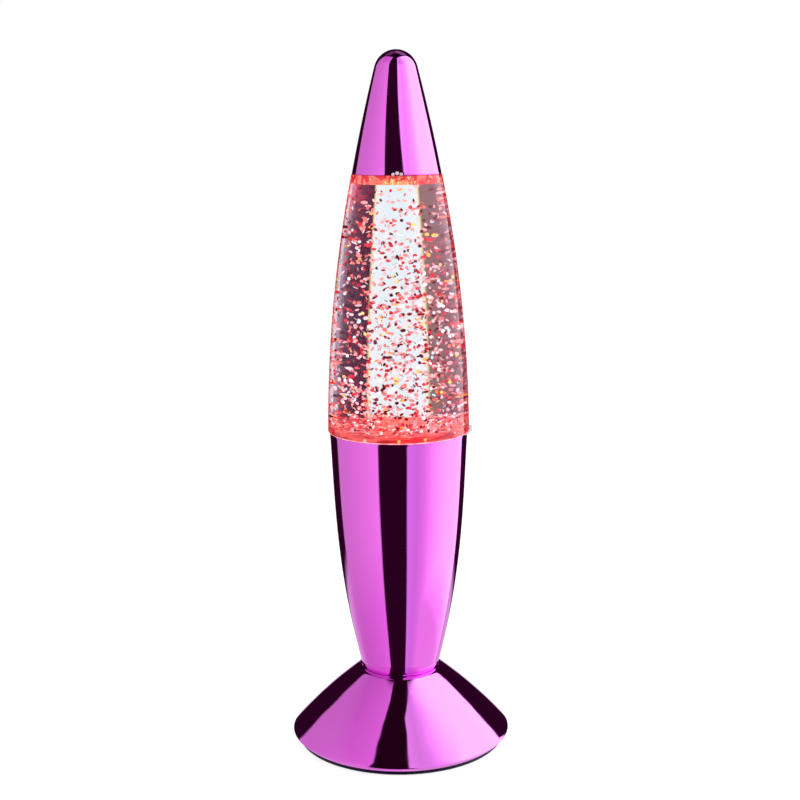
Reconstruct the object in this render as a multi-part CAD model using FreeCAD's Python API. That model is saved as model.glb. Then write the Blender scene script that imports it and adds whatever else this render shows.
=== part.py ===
import FreeCAD, Part
import math
import os

# Glitter lamp: a clear bottle of liquid and glitter flakes stands between a plated
# cap and a plated stem on a cone-shaped foot. Three cells in the foot feed three
# lights and a small motor. Magnets on the motor turn a bladed stirrer through the
# floor of the bottle, so nothing has to pass through the floor.
# Millimetres, +Z up, origin on the table under the lamp's axis, front towards -Y.

Vector = FreeCAD.Vector
ORIGIN = Vector(0, 0, 0)
UP = Vector(0, 0, 1)
TURN = 360.0

# Heights of the four parts that show
foot_height = 37.4
stem_height = 120.4
bottle_height = 124.3
cap_height = 57.9

# Cap
cap_tip_radius = 10.55
cap_rim_radius = 21.5
cap_side_bulge = 0.42
cap_wall = 1.8

# Bottle, with its lid and its floor
bottle_top_radius = 21.65
bottle_mid_radius = 31.15
bottle_bottom_radius = 34.6
bottle_edge = 0.6
bottle_wall = 3.0
bottle_core_steps = 3
rebate = 0.8
lid_thickness = 4.4
floor_thickness = 3.0
skirt_length = 5.0
skirt_wall = 1.8
glue_gap = 0.1
skirt_gap = 0.25

# Filler hole in the lid, and its stopper
filler_radius = 3.0
filler_boss_wall = 1.6
filler_boss_height = 3.0
stopper_gap = 0.05
stopper_head_radius = 4.3
stopper_head_height = 1.5

# Liquid and glitter
liquid_gap = 0.2
flake_count = 60
flake_sides = 6
flake_width = 1.6
flake_thickness = 0.15
golden_turn = 137.508
golden_step = 0.618034
silver_step = 0.414214
flake_crowding = 1.3

# Stirrer on the floor of the bottle
stirrer_radius = 9.0
stirrer_disc = 2.4
stirrer_hub_radius = 3.0
stirrer_lift = 0.3
stirrer_room = 1.0
blade_count = 4
blade_height = 1.8
blade_thickness = 1.2
blade_sweep = 1.5
blade_root = 0.5
blade_inset = 0.7
pin_radius = 1.0
pin_depth = 2.0
press_gap = 0.02
running_gap = 0.08
end_play = 0.3
retainer_radius = 2.3
retainer_thickness = 0.6
pin_tip = 0.3
stirrer_magnet_radius = 2.5
stirrer_magnet_depth = 1.8
stirrer_magnet_ring = 5.4
magnet_count = 2

# Magnet carrier on the motor's shaft
carrier_gap = 1.2
carrier_radius = 10.4
carrier_thickness = 4.0
carrier_hub_radius = 3.2
carrier_hub_length = 2.5
shaft_cover = 1.0
drive_magnet_radius = 3.0
drive_magnet_depth = 2.5
drive_magnet_ring = 5.6

# Board with the lights
light_gap = 2.0
light_count = 3
light_ring = 19.0
light_start = -75.0
light_radius = 2.5
light_height = 8.6
light_flange_radius = 2.9
light_flange = 1.0
light_slope = 1.2
board_radius = 26.5
board_thickness = 1.6
board_room = 2.0
board_screw_ring = 23.0
board_screw_count = 3
board_screw_start = 60.0
standoff_height = 2.6
standoff_radius = 2.3
chip_length = 7.6
chip_width = 5.0
chip_height = 1.6
chip_start = 90.0

# Deck that carries the board and the motor
deck_thickness = 2.0
deck_gap = 0.4
deck_boss_radius = 3.2
deck_boss_length = 11.0
deck_screw_edge = 2.6
deck_screw_count = 3
lead_hole_radius = 2.6
lead_hole_ring = 19.0
lead_hole_count = 2
lead_hole_start = 90.0
pocket_wall = 1.6
pocket_depth = 14.0
pocket_gap = 0.12

# Motor
motor_radius = 10.05
motor_half_flat = 7.6
motor_length = 20.5
motor_boss_radius = 3.0
motor_boss_height = 1.4
end_cap_length = 4.6
end_cap_inset = 0.4
shaft_radius = 1.0
shaft_depth = 16.0
terminal_width = 2.0
terminal_thickness = 0.4
terminal_length = 4.0
terminal_place = 5.4
end_hub_length = 1.0

# Stem
stem_rim_radius = 33.8
stem_upper_radius = 32.25
stem_mid_radius = 29.9
stem_lower_radius = 25.6
stem_neck_radius = 19.0
stem_wall = 2.0
stem_core_steps = 3
stem_curve_steps = 8
stem_floor = 2.0
stem_boss_radius = 2.9
stem_boss_height = 8.0
stem_screw_count = 3
stem_screw_ring = 12.5
stem_screw_start = 30.0

# Foot
neck_gap = 0.3
collar_land = 1.5
foot_corner_radius = 54.57
foot_corner_height = 4.83
foot_tuck = 3.27
foot_lip_height = 1.7
foot_bulge = 1.1
foot_wall = 2.0
spigot_depth = 4.4
web_thickness = 2.5
lead_opening_radius = 9.0
foot_boss_radius = 3.6
foot_boss_length = 12.0

# Base plate and its pads
ground_gap = 0.4
plate_thickness = 3.4
plate_overhang = 0.1
plate_gap = 0.2
plate_chamfer = 0.4
pad_count = 4
pad_radius = 4.5
pad_depth = 0.9
pad_edge = 0.6
base_screw_start = 45.0

# Cells, contacts and battery bay
cell_count = 3
cell_radius = 7.25
cell_length = 50.5
cell_nub_radius = 2.75
cell_nub_length = 1.2
cell_space = 0.5
bay_gap = 0.35
bay_wall = 1.2
contact_thickness = 0.4
contact_width = 10.0
contact_height = 7.0
contact_gap = 0.1
leaf_reach = 4.5
leaf_width = 6.0
leaf_thickness = 0.3
leaf_foot = 1.0
leaf_nose = 0.6
leaf_end = 1.2

# Battery door
door_thickness = 2.0
door_gap = 0.3
door_seat = 0.2
door_ledge = 1.8
door_rib_height = 1.0
door_rib_thickness = 1.5
door_rib_place = 0.5
door_chamfer = 0.3
grip_count = 4
grip_pitch = 2.0
grip_width = 0.9
grip_length = 16.0
grip_depth = 0.5
grip_edge = 2.5
cell_rest = 0.3
tab_width = 6.0
tab_length = 2.0
tab_place = 12.0
tab_lift = 0.6
tab_thickness = 1.0
tab_room = 0.3
tab_swing = 0.6
ear_width = 10.0
ear_length = 5.6
latch_boss_radius = 3.4
latch_boss_cover = 1.2
latch_clearance = 0.42

# Power switch
switch_length = 12.0
switch_width = 6.0
switch_height = 5.0
switch_travel = 3.0
switch_well_length = 13.0
switch_well_width = 7.5
switch_well_depth = 1.6
switch_rib = 1.2
switch_rib_height = 3.5
lever_neck_length = 2.4
lever_neck_width = 2.0
lever_neck_height = 2.4
lever_knob_length = 4.6
lever_knob_width = 3.8
lever_knob_height = 1.1
lever_recess = 0.4
lever_gap = 0.3
lever_groove_count = 3
lever_groove_pitch = 1.1
lever_groove_width = 0.4
lever_groove_depth = 0.3

# Screws: shank radius, head radius and head height of the large and small sizes
screw_radius = 1.4
screw_head_radius = 2.7
screw_head_height = 1.3
screw_gap = 0.1
screw_tip_room = 0.6
screw_pocket_gap = 0.5
screw_sink = 0.3
small_screw_radius = 0.85
small_screw_head_radius = 1.7
small_screw_head_height = 0.9
base_screw_length = 7.0
stem_screw_length = 8.0
deck_screw_length = 9.0
board_screw_length = 4.4
door_screw_length = 4.4
door_screw_radius = 1.2
door_screw_head_radius = 2.2
door_screw_head_height = 1.1
door_screw_sink = 0.2

# Cross recess of every screw, as shares of its head
cross_reach = 0.62
cross_width = 0.24
cross_depth = 0.6

# Levels that follow from the sizes above
stem_bottom = foot_height
stem_top = stem_bottom + stem_height
bottle_bottom = stem_top
bottle_top = bottle_bottom + bottle_height
lamp_top = bottle_top + cap_height
floor_top = bottle_bottom + floor_thickness
lid_bottom = bottle_top - lid_thickness

foot_lip_radius = foot_corner_radius - foot_tuck
web_top = foot_height - spigot_depth
web_bottom = web_top - web_thickness
stem_floor_top = web_top + stem_floor

carrier_top = stem_top - carrier_gap
carrier_bottom = carrier_top - carrier_thickness
shaft_top = carrier_top - shaft_cover
light_top = stem_top - light_gap
board_top = light_top - light_height
board_bottom = board_top - board_thickness
deck_top = board_bottom - standoff_height
deck_bottom = deck_top - deck_thickness
motor_bottom = deck_bottom - motor_length
end_cap_bottom = motor_bottom - end_cap_length

stirrer_bottom = floor_top + stirrer_lift
stirrer_disc_top = stirrer_bottom + stirrer_disc
stirrer_top = stirrer_disc_top + blade_height
retainer_bottom = stirrer_top + end_play
retainer_top = retainer_bottom + retainer_thickness
pin_top = retainer_top + pin_tip

plate_bottom = ground_gap
plate_top = plate_bottom + plate_thickness
plate_rim_radius = foot_lip_radius + plate_overhang
plate_radius = foot_lip_radius - foot_wall - plate_gap
pad_ring = plate_radius - pad_radius - pad_edge

door_top = plate_bottom + door_thickness
recess_top = door_top + door_seat
cell_height = door_top + door_rib_height + cell_rest + cell_radius
cell_pitch = 2 * cell_radius + cell_space
cell_places = [(index - (cell_count - 1) / 2) * cell_pitch for index in range(cell_count)]
cell_facings = [1 if index % 2 == 0 else -1 for index in range(cell_count)]
bay_half_width = cell_places[-1] + cell_radius + bay_gap
contact_face = (cell_length + leaf_reach) / 2
bay_half_length = contact_face + contact_thickness
bay_bore = cell_radius + bay_gap
recess_half_width = bay_half_width + door_ledge
recess_half_length = bay_half_length + door_ledge
door_half_width = recess_half_width - door_gap
door_half_length = recess_half_length - door_gap
latch_place = door_half_length + ear_length / 2 - door_gap
door_screw_seat = plate_bottom + door_screw_head_height + door_screw_sink
switch_place = (recess_half_width + pad_ring - pad_radius) / 2
switch_bottom = plate_top
switch_top = switch_bottom + switch_height
well_top = plate_bottom + switch_well_depth


# Small shapes that the pieces are made of

def point(radius, height):
    return Vector(radius, 0, height)


def line(start, end):
    return Part.LineSegment(point(*start), point(*end)).toShape()


def arc(start, middle, end):
    return Part.Arc(point(*start), point(*middle), point(*end)).toShape()


def lines(corners):
    return [line(first, second) for first, second in zip(corners, corners[1:])]


def turned(edges):
    """Solid made by turning a closed outline about the lamp's axis."""
    return Part.Face(Part.Wire(edges)).revolve(ORIGIN, UP, TURN)


def turned_lines(corners):
    return turned(lines(corners + corners[:1]))


def disc(radius, bottom, top, x=0.0, y=0.0):
    return Part.makeCylinder(radius, top - bottom, Vector(x, y, bottom))


def ring(outer, inner, bottom, top):
    return disc(outer, bottom, top).cut(disc(inner, bottom, top))


def block(low, high):
    size = Vector(*high) - Vector(*low)
    return Part.makeBox(size.x, size.y, size.z, Vector(*low))


def centred_block(width, depth, bottom, top, x=0.0, y=0.0):
    low = (x - width / 2, y - depth / 2, bottom)
    return block(low, (x + width / 2, y + depth / 2, top))


def eased(shape, level, size):
    """The shape with a chamfer on every outside edge of its flat face at a level."""
    faces = [face for face in shape.Faces if abs(face.BoundBox.ZMin - level) < 1e-6
             and face.BoundBox.ZLength < 1e-6]
    edges = [edge for face in faces for edge in face.OuterWire.Edges]
    return shape.makeChamfer(size, edges)


def grooves(count, pitch, width, length, bottom, top, x, y):
    """Grooves side by side along Y, each of them across X."""
    places = [y + (index - (count - 1) / 2) * pitch for index in range(count)]
    return [centred_block(length, width, bottom, top, x, place) for place in places]


def joined(shapes):
    return shapes[0].multiFuse(shapes[1:]).removeSplitter()


def around(radius, count, start=0.0):
    """Places evenly spaced on a circle about the axis."""
    angles = [math.radians(start + index * TURN / count) for index in range(count)]
    return [(radius * math.cos(angle), radius * math.sin(angle)) for angle in angles]


def turned_to(shape, angle):
    copy = shape.copy()
    copy.rotate(ORIGIN, UP, angle)
    return copy


def moved(shape, x, y, z):
    copy = shape.copy()
    copy.translate(Vector(x, y, z))
    return copy


def circle_through(first, second, third):
    """Centre and radius of the circle through three points of an outline."""
    (ax, ay), (bx, by), (cx, cy) = first, second, third
    spread = 2 * (ax * (by - cy) + bx * (cy - ay) + cx * (ay - by))
    a, b, c = ax * ax + ay * ay, bx * bx + by * by, cx * cx + cy * cy
    x = (a * (by - cy) + b * (cy - ay) + c * (ay - by)) / spread
    y = (a * (cx - bx) + b * (ax - cx) + c * (bx - ax)) / spread
    return x, y, math.hypot(ax - x, ay - y)


def screw(shank, head, head_height, length):
    """Screw with its shank up from the origin, and a head below it with a cross recess."""
    body = joined([disc(shank, 0, length), disc(head, -head_height, 0)])
    long, short = 2 * head * cross_reach, head * cross_width
    top = head_height * (cross_depth - 1)
    cross = joined([centred_block(long, short, -head_height, top),
                    centred_block(short, long, -head_height, top)])
    return body.cut(cross)


def hung(shape):
    """The same screw with its head on top."""
    copy = shape.copy()
    copy.rotate(ORIGIN, Vector(1, 0, 0), 180)
    return copy


# Outlines of the parts that show

def bottle_radius(height):
    """Round side of the bottle, through its bottom, middle and top radius."""
    middle = (bottle_mid_radius, (bottle_bottom + bottle_top) / 2)
    x, y, radius = circle_through((bottle_bottom_radius, bottle_bottom), middle,
                                  (bottle_top_radius, bottle_top))
    return x + math.sqrt(radius ** 2 - (height - y) ** 2)


def stem_radius(height):
    """Smooth curve through five radii at even steps down the stem."""
    radii = (stem_rim_radius, stem_upper_radius, stem_mid_radius, stem_lower_radius,
             stem_neck_radius)
    last = len(radii) - 1
    place = (stem_top - height) / stem_height * last
    total = 0.0
    for index, radius in enumerate(radii):
        others = [other for other in range(last + 1) if other != index]
        total += radius * math.prod((place - other) / (index - other) for other in others)
    return total


def stem_inner(height):
    return stem_radius(height) - stem_wall


def cap_tangent():
    """Angle from the tip at which the round tip of the cap runs into its side."""
    drop = cap_height - cap_tip_radius
    reach = math.hypot(cap_rim_radius, drop)
    angle = math.atan2(drop, cap_rim_radius) + math.asin(cap_tip_radius / reach)
    side = math.sqrt(reach ** 2 - cap_tip_radius ** 2)
    return angle - 4 * cap_side_bulge / side


def on_tip(radius, angle):
    centre = lamp_top - cap_tip_radius
    return radius * math.sin(angle), centre + radius * math.cos(angle)


def cap_inner(height):
    """Inside radius of the cap's straight core at a height."""
    shoulder = on_tip(cap_tip_radius - cap_wall, cap_tangent())
    share = (height - bottle_top) / (shoulder[1] - bottle_top)
    rim = cap_rim_radius - cap_wall
    return rim + share * (shoulder[0] - rim)


def foot_slope():
    run = foot_corner_radius - (stem_neck_radius + neck_gap + collar_land)
    return math.atan2(foot_height - foot_corner_height, run)


def foot_inner(height):
    straight = foot_corner_radius - (height - foot_corner_height) / math.tan(foot_slope())
    return straight - foot_wall / math.sin(foot_slope())


# Cap and bottle

def top_cap():
    angle = cap_tangent()
    tip = on_tip(cap_tip_radius, 0)
    shoulder = on_tip(cap_tip_radius, angle)
    rim = (cap_rim_radius, bottle_top)
    belly = ((shoulder[0] + rim[0]) / 2 + cap_side_bulge, (shoulder[1] + rim[1]) / 2)
    core_end = on_tip(cap_tip_radius - cap_wall, angle)
    edges = [arc(tip, on_tip(cap_tip_radius, angle / 2), shoulder), arc(shoulder, belly, rim)]
    edges += lines([rim, (cap_rim_radius - cap_wall, bottle_top), core_end, (0, core_end[1]), tip])
    return turned(edges)


def bottle_bore():
    """Inside of the bottle from its floor to its lid, as radii and heights."""
    step = (lid_bottom - floor_top) / bottle_core_steps
    heights = [floor_top + index * step for index in range(bottle_core_steps + 1)]
    return [(bottle_radius(height) - bottle_wall, height) for height in heights]


def bottle():
    bore = bottle_bore()
    floor_seat = bore[0][0] + rebate
    lid_seat = bore[-1][0] + rebate
    edge_top = bottle_bottom + bottle_edge
    middle = (edge_top + bottle_top) / 2
    low, high = (bottle_radius(edge_top), edge_top), (bottle_top_radius, bottle_top)
    edges = [arc(low, (bottle_radius(middle), middle), high)]
    edges += lines([high, (lid_seat, bottle_top), (lid_seat, lid_bottom)] + bore[::-1]
                   + [(floor_seat, floor_top), (floor_seat, bottle_bottom),
                      (bottle_bottom_radius - bottle_edge, bottle_bottom), low])
    return turned(edges)


def bottle_lid():
    """Clear lid glued into the top, with a skirt that centres the cap."""
    radius = bottle_bore()[-1][0] + rebate - glue_gap
    skirt = cap_inner(bottle_top + skirt_length) - skirt_gap
    boss_radius = filler_radius + filler_boss_wall
    lid = joined([disc(radius, lid_bottom, bottle_top),
                  ring(skirt, skirt - skirt_wall, bottle_top, bottle_top + skirt_length),
                  disc(boss_radius, bottle_top, bottle_top + filler_boss_height)])
    return lid.cut(disc(filler_radius, lid_bottom, bottle_top + filler_boss_height))


def filler_stopper():
    seat = bottle_top + filler_boss_height
    return joined([disc(filler_radius - stopper_gap, lid_bottom, seat),
                   disc(stopper_head_radius, seat, seat + stopper_head_height)])


def bottle_floor():
    """Clear floor glued into the bottle, with a skirt that drops into the stem."""
    radius = bottle_bore()[0][0] + rebate - glue_gap
    skirt_bottom = bottle_bottom - skirt_length
    skirt = stem_inner(skirt_bottom) - skirt_gap
    floor = joined([disc(radius, bottle_bottom, floor_top),
                    ring(skirt, skirt - skirt_wall, skirt_bottom, bottle_bottom)])
    return floor.cut(disc(pin_radius + press_gap, floor_top - pin_depth, floor_top))


def liquid_fill():
    """The liquid, with room round the stirrer."""
    wall = [(radius - liquid_gap, height) for radius, height in bottle_bore()]
    wall[0] = (wall[0][0], floor_top + liquid_gap)
    wall[-1] = (wall[-1][0], lid_bottom - liquid_gap)
    hole = stirrer_radius + stirrer_room
    roof = pin_top + stirrer_room
    return turned_lines([(0, roof), (hole, roof), (hole, floor_top + liquid_gap)] + wall
                        + [(0, lid_bottom - liquid_gap)])


def glitter_flakes():
    """Six-sided flakes spread through the liquid, closer together near the floor."""
    corners = [Vector(x, y, -flake_thickness / 2)
               for x, y in around(flake_width / math.sqrt(3), flake_sides)]
    face = Part.Face(Part.makePolygon(corners + corners[:1]))
    flake = face.extrude(Vector(0, 0, flake_thickness))
    low = pin_top + stirrer_room + flake_width
    high = lid_bottom - flake_width
    flakes = []
    for index in range(flake_count):
        share = (index + 0.5) / flake_count
        height = low + (high - low) * share ** flake_crowding
        reach = bottle_radius(height) - bottle_wall - 2 * flake_width
        radius = reach * math.sqrt(index * golden_step % 1.0)
        tilted = flake.copy()
        tilted.rotate(ORIGIN, Vector(1, 0, 0), 180 * (index * silver_step % 1.0))
        tilted.rotate(ORIGIN, UP, index * golden_turn * 2)
        angle = math.radians(index * golden_turn)
        flakes.append(moved(tilted, radius * math.cos(angle), radius * math.sin(angle), height))
    return Part.makeCompound(flakes)


# Stirrer and magnetic drive

def pivot_pin():
    return disc(pin_radius, floor_top - pin_depth, pin_top)


def pin_retainer():
    return ring(retainer_radius, pin_radius + press_gap, retainer_bottom, retainer_top)


def blade():
    """Curved blade that stands on the stirrer's disc, from the hub to the rim."""
    start, end = stirrer_hub_radius - blade_root, stirrer_radius - blade_inset
    middle = (start + end) / 2
    half = blade_thickness / 2

    def side(offset):
        return [Vector(start, offset, stirrer_disc_top),
                Vector(middle, blade_sweep + offset, stirrer_disc_top),
                Vector(end, offset, stirrer_disc_top)]

    near, far = side(-half), side(half)
    edges = [Part.Arc(*near).toShape(), Part.LineSegment(near[2], far[2]).toShape(),
             Part.Arc(*far[::-1]).toShape(), Part.LineSegment(far[0], near[0]).toShape()]
    return Part.Face(Part.Wire(edges)).extrude(Vector(0, 0, blade_height))


def stirrer():
    blades = [turned_to(blade(), index * TURN / blade_count) for index in range(blade_count)]
    body = joined([disc(stirrer_radius, stirrer_bottom, stirrer_disc_top),
                   disc(stirrer_hub_radius, stirrer_bottom, stirrer_top)] + blades)
    body = body.cut(disc(pin_radius + running_gap, stirrer_bottom, stirrer_top))
    pocket_radius = stirrer_magnet_radius + glue_gap
    pocket_top = stirrer_bottom + stirrer_magnet_depth
    for x, y in around(stirrer_magnet_ring, magnet_count):
        body = body.cut(disc(pocket_radius, stirrer_bottom, pocket_top, x, y))
    return body


def stirrer_magnets():
    top = stirrer_bottom + stirrer_magnet_depth
    return Part.makeCompound([disc(stirrer_magnet_radius, stirrer_bottom, top, x, y)
                              for x, y in around(stirrer_magnet_ring, magnet_count)])


def magnet_carrier():
    body = joined([disc(carrier_radius, carrier_bottom, carrier_top),
                   disc(carrier_hub_radius, carrier_bottom - carrier_hub_length, carrier_bottom)])
    bore_bottom = carrier_bottom - carrier_hub_length
    body = body.cut(disc(shaft_radius + press_gap, bore_bottom, shaft_top))
    for x, y in around(drive_magnet_ring, magnet_count):
        pocket = disc(drive_magnet_radius + glue_gap, carrier_top - drive_magnet_depth,
                      carrier_top, x, y)
        body = body.cut(pocket)
    return body


def drive_magnets():
    bottom = carrier_top - drive_magnet_depth
    return Part.makeCompound([disc(drive_magnet_radius, bottom, carrier_top, x, y)
                              for x, y in around(drive_magnet_ring, magnet_count)])


def motor_outline(growth, bottom, top):
    """Round motor with two flat sides, grown or shrunk all round."""
    radius = motor_radius + growth
    half = motor_half_flat + growth
    return disc(radius, bottom, top).common(centred_block(3 * radius, 2 * half, bottom, top))


def motor_can():
    can = motor_outline(0, motor_bottom, deck_bottom)
    can = joined([can, disc(motor_boss_radius, deck_bottom, deck_bottom + motor_boss_height)])
    bore = disc(shaft_radius + running_gap, deck_bottom - shaft_depth - running_gap,
                deck_bottom + motor_boss_height)
    return can.cut(bore)


def motor_shaft():
    return disc(shaft_radius, deck_bottom - shaft_depth, shaft_top)


def motor_end_cap():
    cap = motor_outline(-end_cap_inset, end_cap_bottom, motor_bottom)
    hub = disc(motor_boss_radius, end_cap_bottom - end_hub_length, end_cap_bottom)
    return joined([cap, hub])


def motor_terminals():
    top = end_cap_bottom
    return Part.makeCompound([
        centred_block(terminal_width, terminal_thickness, top - terminal_length, top, 0, y)
        for y in (-terminal_place, terminal_place)])


# Deck, board and lights

def deck_radius():
    return stem_inner(deck_bottom) - deck_gap


def deck_screw_ring():
    return deck_radius() - deck_screw_edge


def motor_deck():
    """Deck with the pocket that holds the motor and the posts for the board."""
    pocket_bottom = deck_bottom - pocket_depth
    posts = [disc(standoff_radius, deck_top, board_bottom, x, y)
             for x, y in around(board_screw_ring, board_screw_count, board_screw_start)]
    pocket = motor_outline(pocket_gap + pocket_wall, pocket_bottom, deck_bottom)
    deck = joined([disc(deck_radius(), deck_bottom, deck_top), pocket] + posts)
    cuts = [motor_outline(pocket_gap, pocket_bottom, deck_bottom),
            disc(motor_boss_radius + pocket_gap, deck_bottom, deck_top)]
    cuts += [disc(small_screw_radius + screw_gap, board_top - board_screw_length - screw_tip_room,
                  board_bottom, x, y)
             for x, y in around(board_screw_ring, board_screw_count, board_screw_start)]
    cuts += [disc(screw_radius + screw_gap, deck_bottom, deck_top, x, y)
             for x, y in around(deck_screw_ring(), deck_screw_count)]
    cuts += [disc(lead_hole_radius, deck_bottom, deck_top, x, y)
             for x, y in around(lead_hole_ring, lead_hole_count, lead_hole_start)]
    return deck.cut(Part.makeCompound(cuts))


def deck_screws():
    one = hung(screw(screw_radius, screw_head_radius, screw_head_height, deck_screw_length))
    return Part.makeCompound([moved(one, x, y, deck_top)
                              for x, y in around(deck_screw_ring(), deck_screw_count)])


def led_board():
    board = ring(board_radius, carrier_radius + board_room, board_bottom, board_top)
    holes = [disc(small_screw_radius + screw_gap, board_bottom, board_top, x, y)
             for x, y in around(board_screw_ring, board_screw_count, board_screw_start)]
    return board.cut(Part.makeCompound(holes))


def board_screws():
    one = hung(screw(small_screw_radius, small_screw_head_radius, small_screw_head_height,
                     board_screw_length))
    return Part.makeCompound([moved(one, x, y, board_top)
                              for x, y in around(board_screw_ring, board_screw_count, board_screw_start)])


def light_bodies():
    """Flanged lights with a sloped top edge that stand on the board."""
    flange_top = board_top + light_flange
    light = turned_lines([(0, light_top), (0, board_top), (light_flange_radius, board_top),
                          (light_flange_radius, flange_top), (light_radius, flange_top),
                          (light_radius, light_top - light_slope),
                          (light_radius - light_slope, light_top)])
    return Part.makeCompound([moved(light, x, y, 0)
                              for x, y in around(light_ring, light_count, light_start)])


def control_chip():
    x, y = around(light_ring, 1, chip_start)[0]
    return centred_block(chip_width, chip_length, board_top, board_top + chip_height, x, y)


# Stem

def stem():
    """Plated shell with a floor that bolts to the foot and bosses for the deck."""
    step = stem_height / stem_curve_steps
    skin = [point(stem_radius(stem_top - index * step), stem_top - index * step)
            for index in range(stem_curve_steps + 1)]
    curve = Part.BSplineCurve()
    curve.interpolate(skin)
    neck_inner = stem_neck_radius - stem_wall
    core_step = stem_height / stem_core_steps
    core = [(stem_inner(stem_bottom + index * core_step), stem_bottom + index * core_step)
            for index in range(stem_core_steps + 1)]
    inside = [(stem_neck_radius, stem_bottom), (stem_neck_radius, web_top),
              (lead_opening_radius, web_top), (lead_opening_radius, stem_floor_top),
              (neck_inner, stem_floor_top)] + core + [(stem_rim_radius, stem_top)]
    shell = turned([curve.toShape()] + lines(inside))
    bosses = [disc(stem_boss_radius, web_top, stem_floor_top + stem_boss_height, x, y)
              for x, y in around(stem_screw_ring, stem_screw_count, stem_screw_start)]
    boss_bottom = deck_bottom - deck_boss_length
    deck_bosses = [disc(deck_boss_radius, boss_bottom, deck_bottom, x, y)
                   for x, y in around(deck_screw_ring(), deck_screw_count)]
    body = joined([shell] + bosses + deck_bosses)
    cuts = [disc(screw_radius + screw_gap, web_top,
                 web_top + stem_screw_length + screw_tip_room, x, y)
            for x, y in around(stem_screw_ring, stem_screw_count, stem_screw_start)]
    tip = deck_top - deck_screw_length - screw_tip_room
    cuts += [disc(screw_radius + screw_gap, tip, deck_bottom, x, y)
             for x, y in around(deck_screw_ring(), deck_screw_count)]
    return body.cut(Part.makeCompound(cuts))


def stem_screws():
    one = screw(screw_radius, screw_head_radius, screw_head_height,
                stem_screw_length + web_thickness)
    return Part.makeCompound([moved(one, x, y, web_bottom)
                              for x, y in around(stem_screw_ring, stem_screw_count, stem_screw_start)])


# Foot

def foot():
    """Cone-shaped shell with a collar round the stem and bosses for the base plate."""
    bore = stem_neck_radius + neck_gap
    collar = (bore + collar_land, foot_height)
    corner = (foot_corner_radius, foot_corner_height)
    lip = (foot_lip_radius, foot_lip_height)
    normal = (math.sin(foot_slope()), math.cos(foot_slope()))
    belly = ((collar[0] + corner[0]) / 2 + foot_bulge * normal[0],
             (collar[1] + corner[1]) / 2 + foot_bulge * normal[1])
    inside = [lip, (foot_lip_radius - foot_wall, foot_lip_height),
              (foot_inner(foot_corner_height), foot_corner_height),
              (foot_inner(web_bottom), web_bottom), (lead_opening_radius, web_bottom),
              (lead_opening_radius, web_top), (bore, web_top), (bore, foot_height), collar]
    shell = turned([arc(collar, belly, corner), line(corner, lip)] + lines(inside))
    cone = turned([arc(collar, belly, corner)]
                  + lines([corner, (0, foot_corner_height), (0, foot_height), collar]))
    boss_top = plate_top + foot_boss_length
    bosses = [disc(foot_boss_radius, plate_top, boss_top, x, y)
              for x, y in around(pad_ring, pad_count, base_screw_start)]
    low = disc(foot_inner(foot_corner_height), plate_top, foot_corner_height)
    room = cone.fuse(low)
    body = joined([shell] + [boss.common(room) for boss in bosses])
    tip = plate_bottom + screw_seat() + base_screw_length + screw_tip_room
    cuts = [disc(screw_radius + screw_gap, plate_top, tip, x, y)
            for x, y in around(pad_ring, pad_count, base_screw_start)]
    cuts += [disc(screw_radius + screw_gap, web_bottom, web_top, x, y)
             for x, y in around(stem_screw_ring, stem_screw_count, stem_screw_start)]
    return body.cut(Part.makeCompound(cuts))


# Base plate

def screw_seat():
    """Depth of the seat under a base screw's head."""
    return screw_head_height + screw_sink


def latch_boss():
    top = door_screw_seat + door_screw_length + screw_tip_room + latch_boss_cover
    return disc(latch_boss_radius, plate_top, top, 0, latch_place)


def battery_bay(growth, bottom, half_length):
    """Three round-topped channels side by side, grown by a wall."""
    radius = bay_bore + growth
    half = bay_half_width + growth
    channels = [Part.makeCylinder(radius, 2 * half_length, Vector(x, -half_length, cell_height),
                                  Vector(0, 1, 0)) for x in cell_places]
    return joined(channels + [block((-half, -half_length, bottom), (half, half_length, cell_height))])


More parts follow.
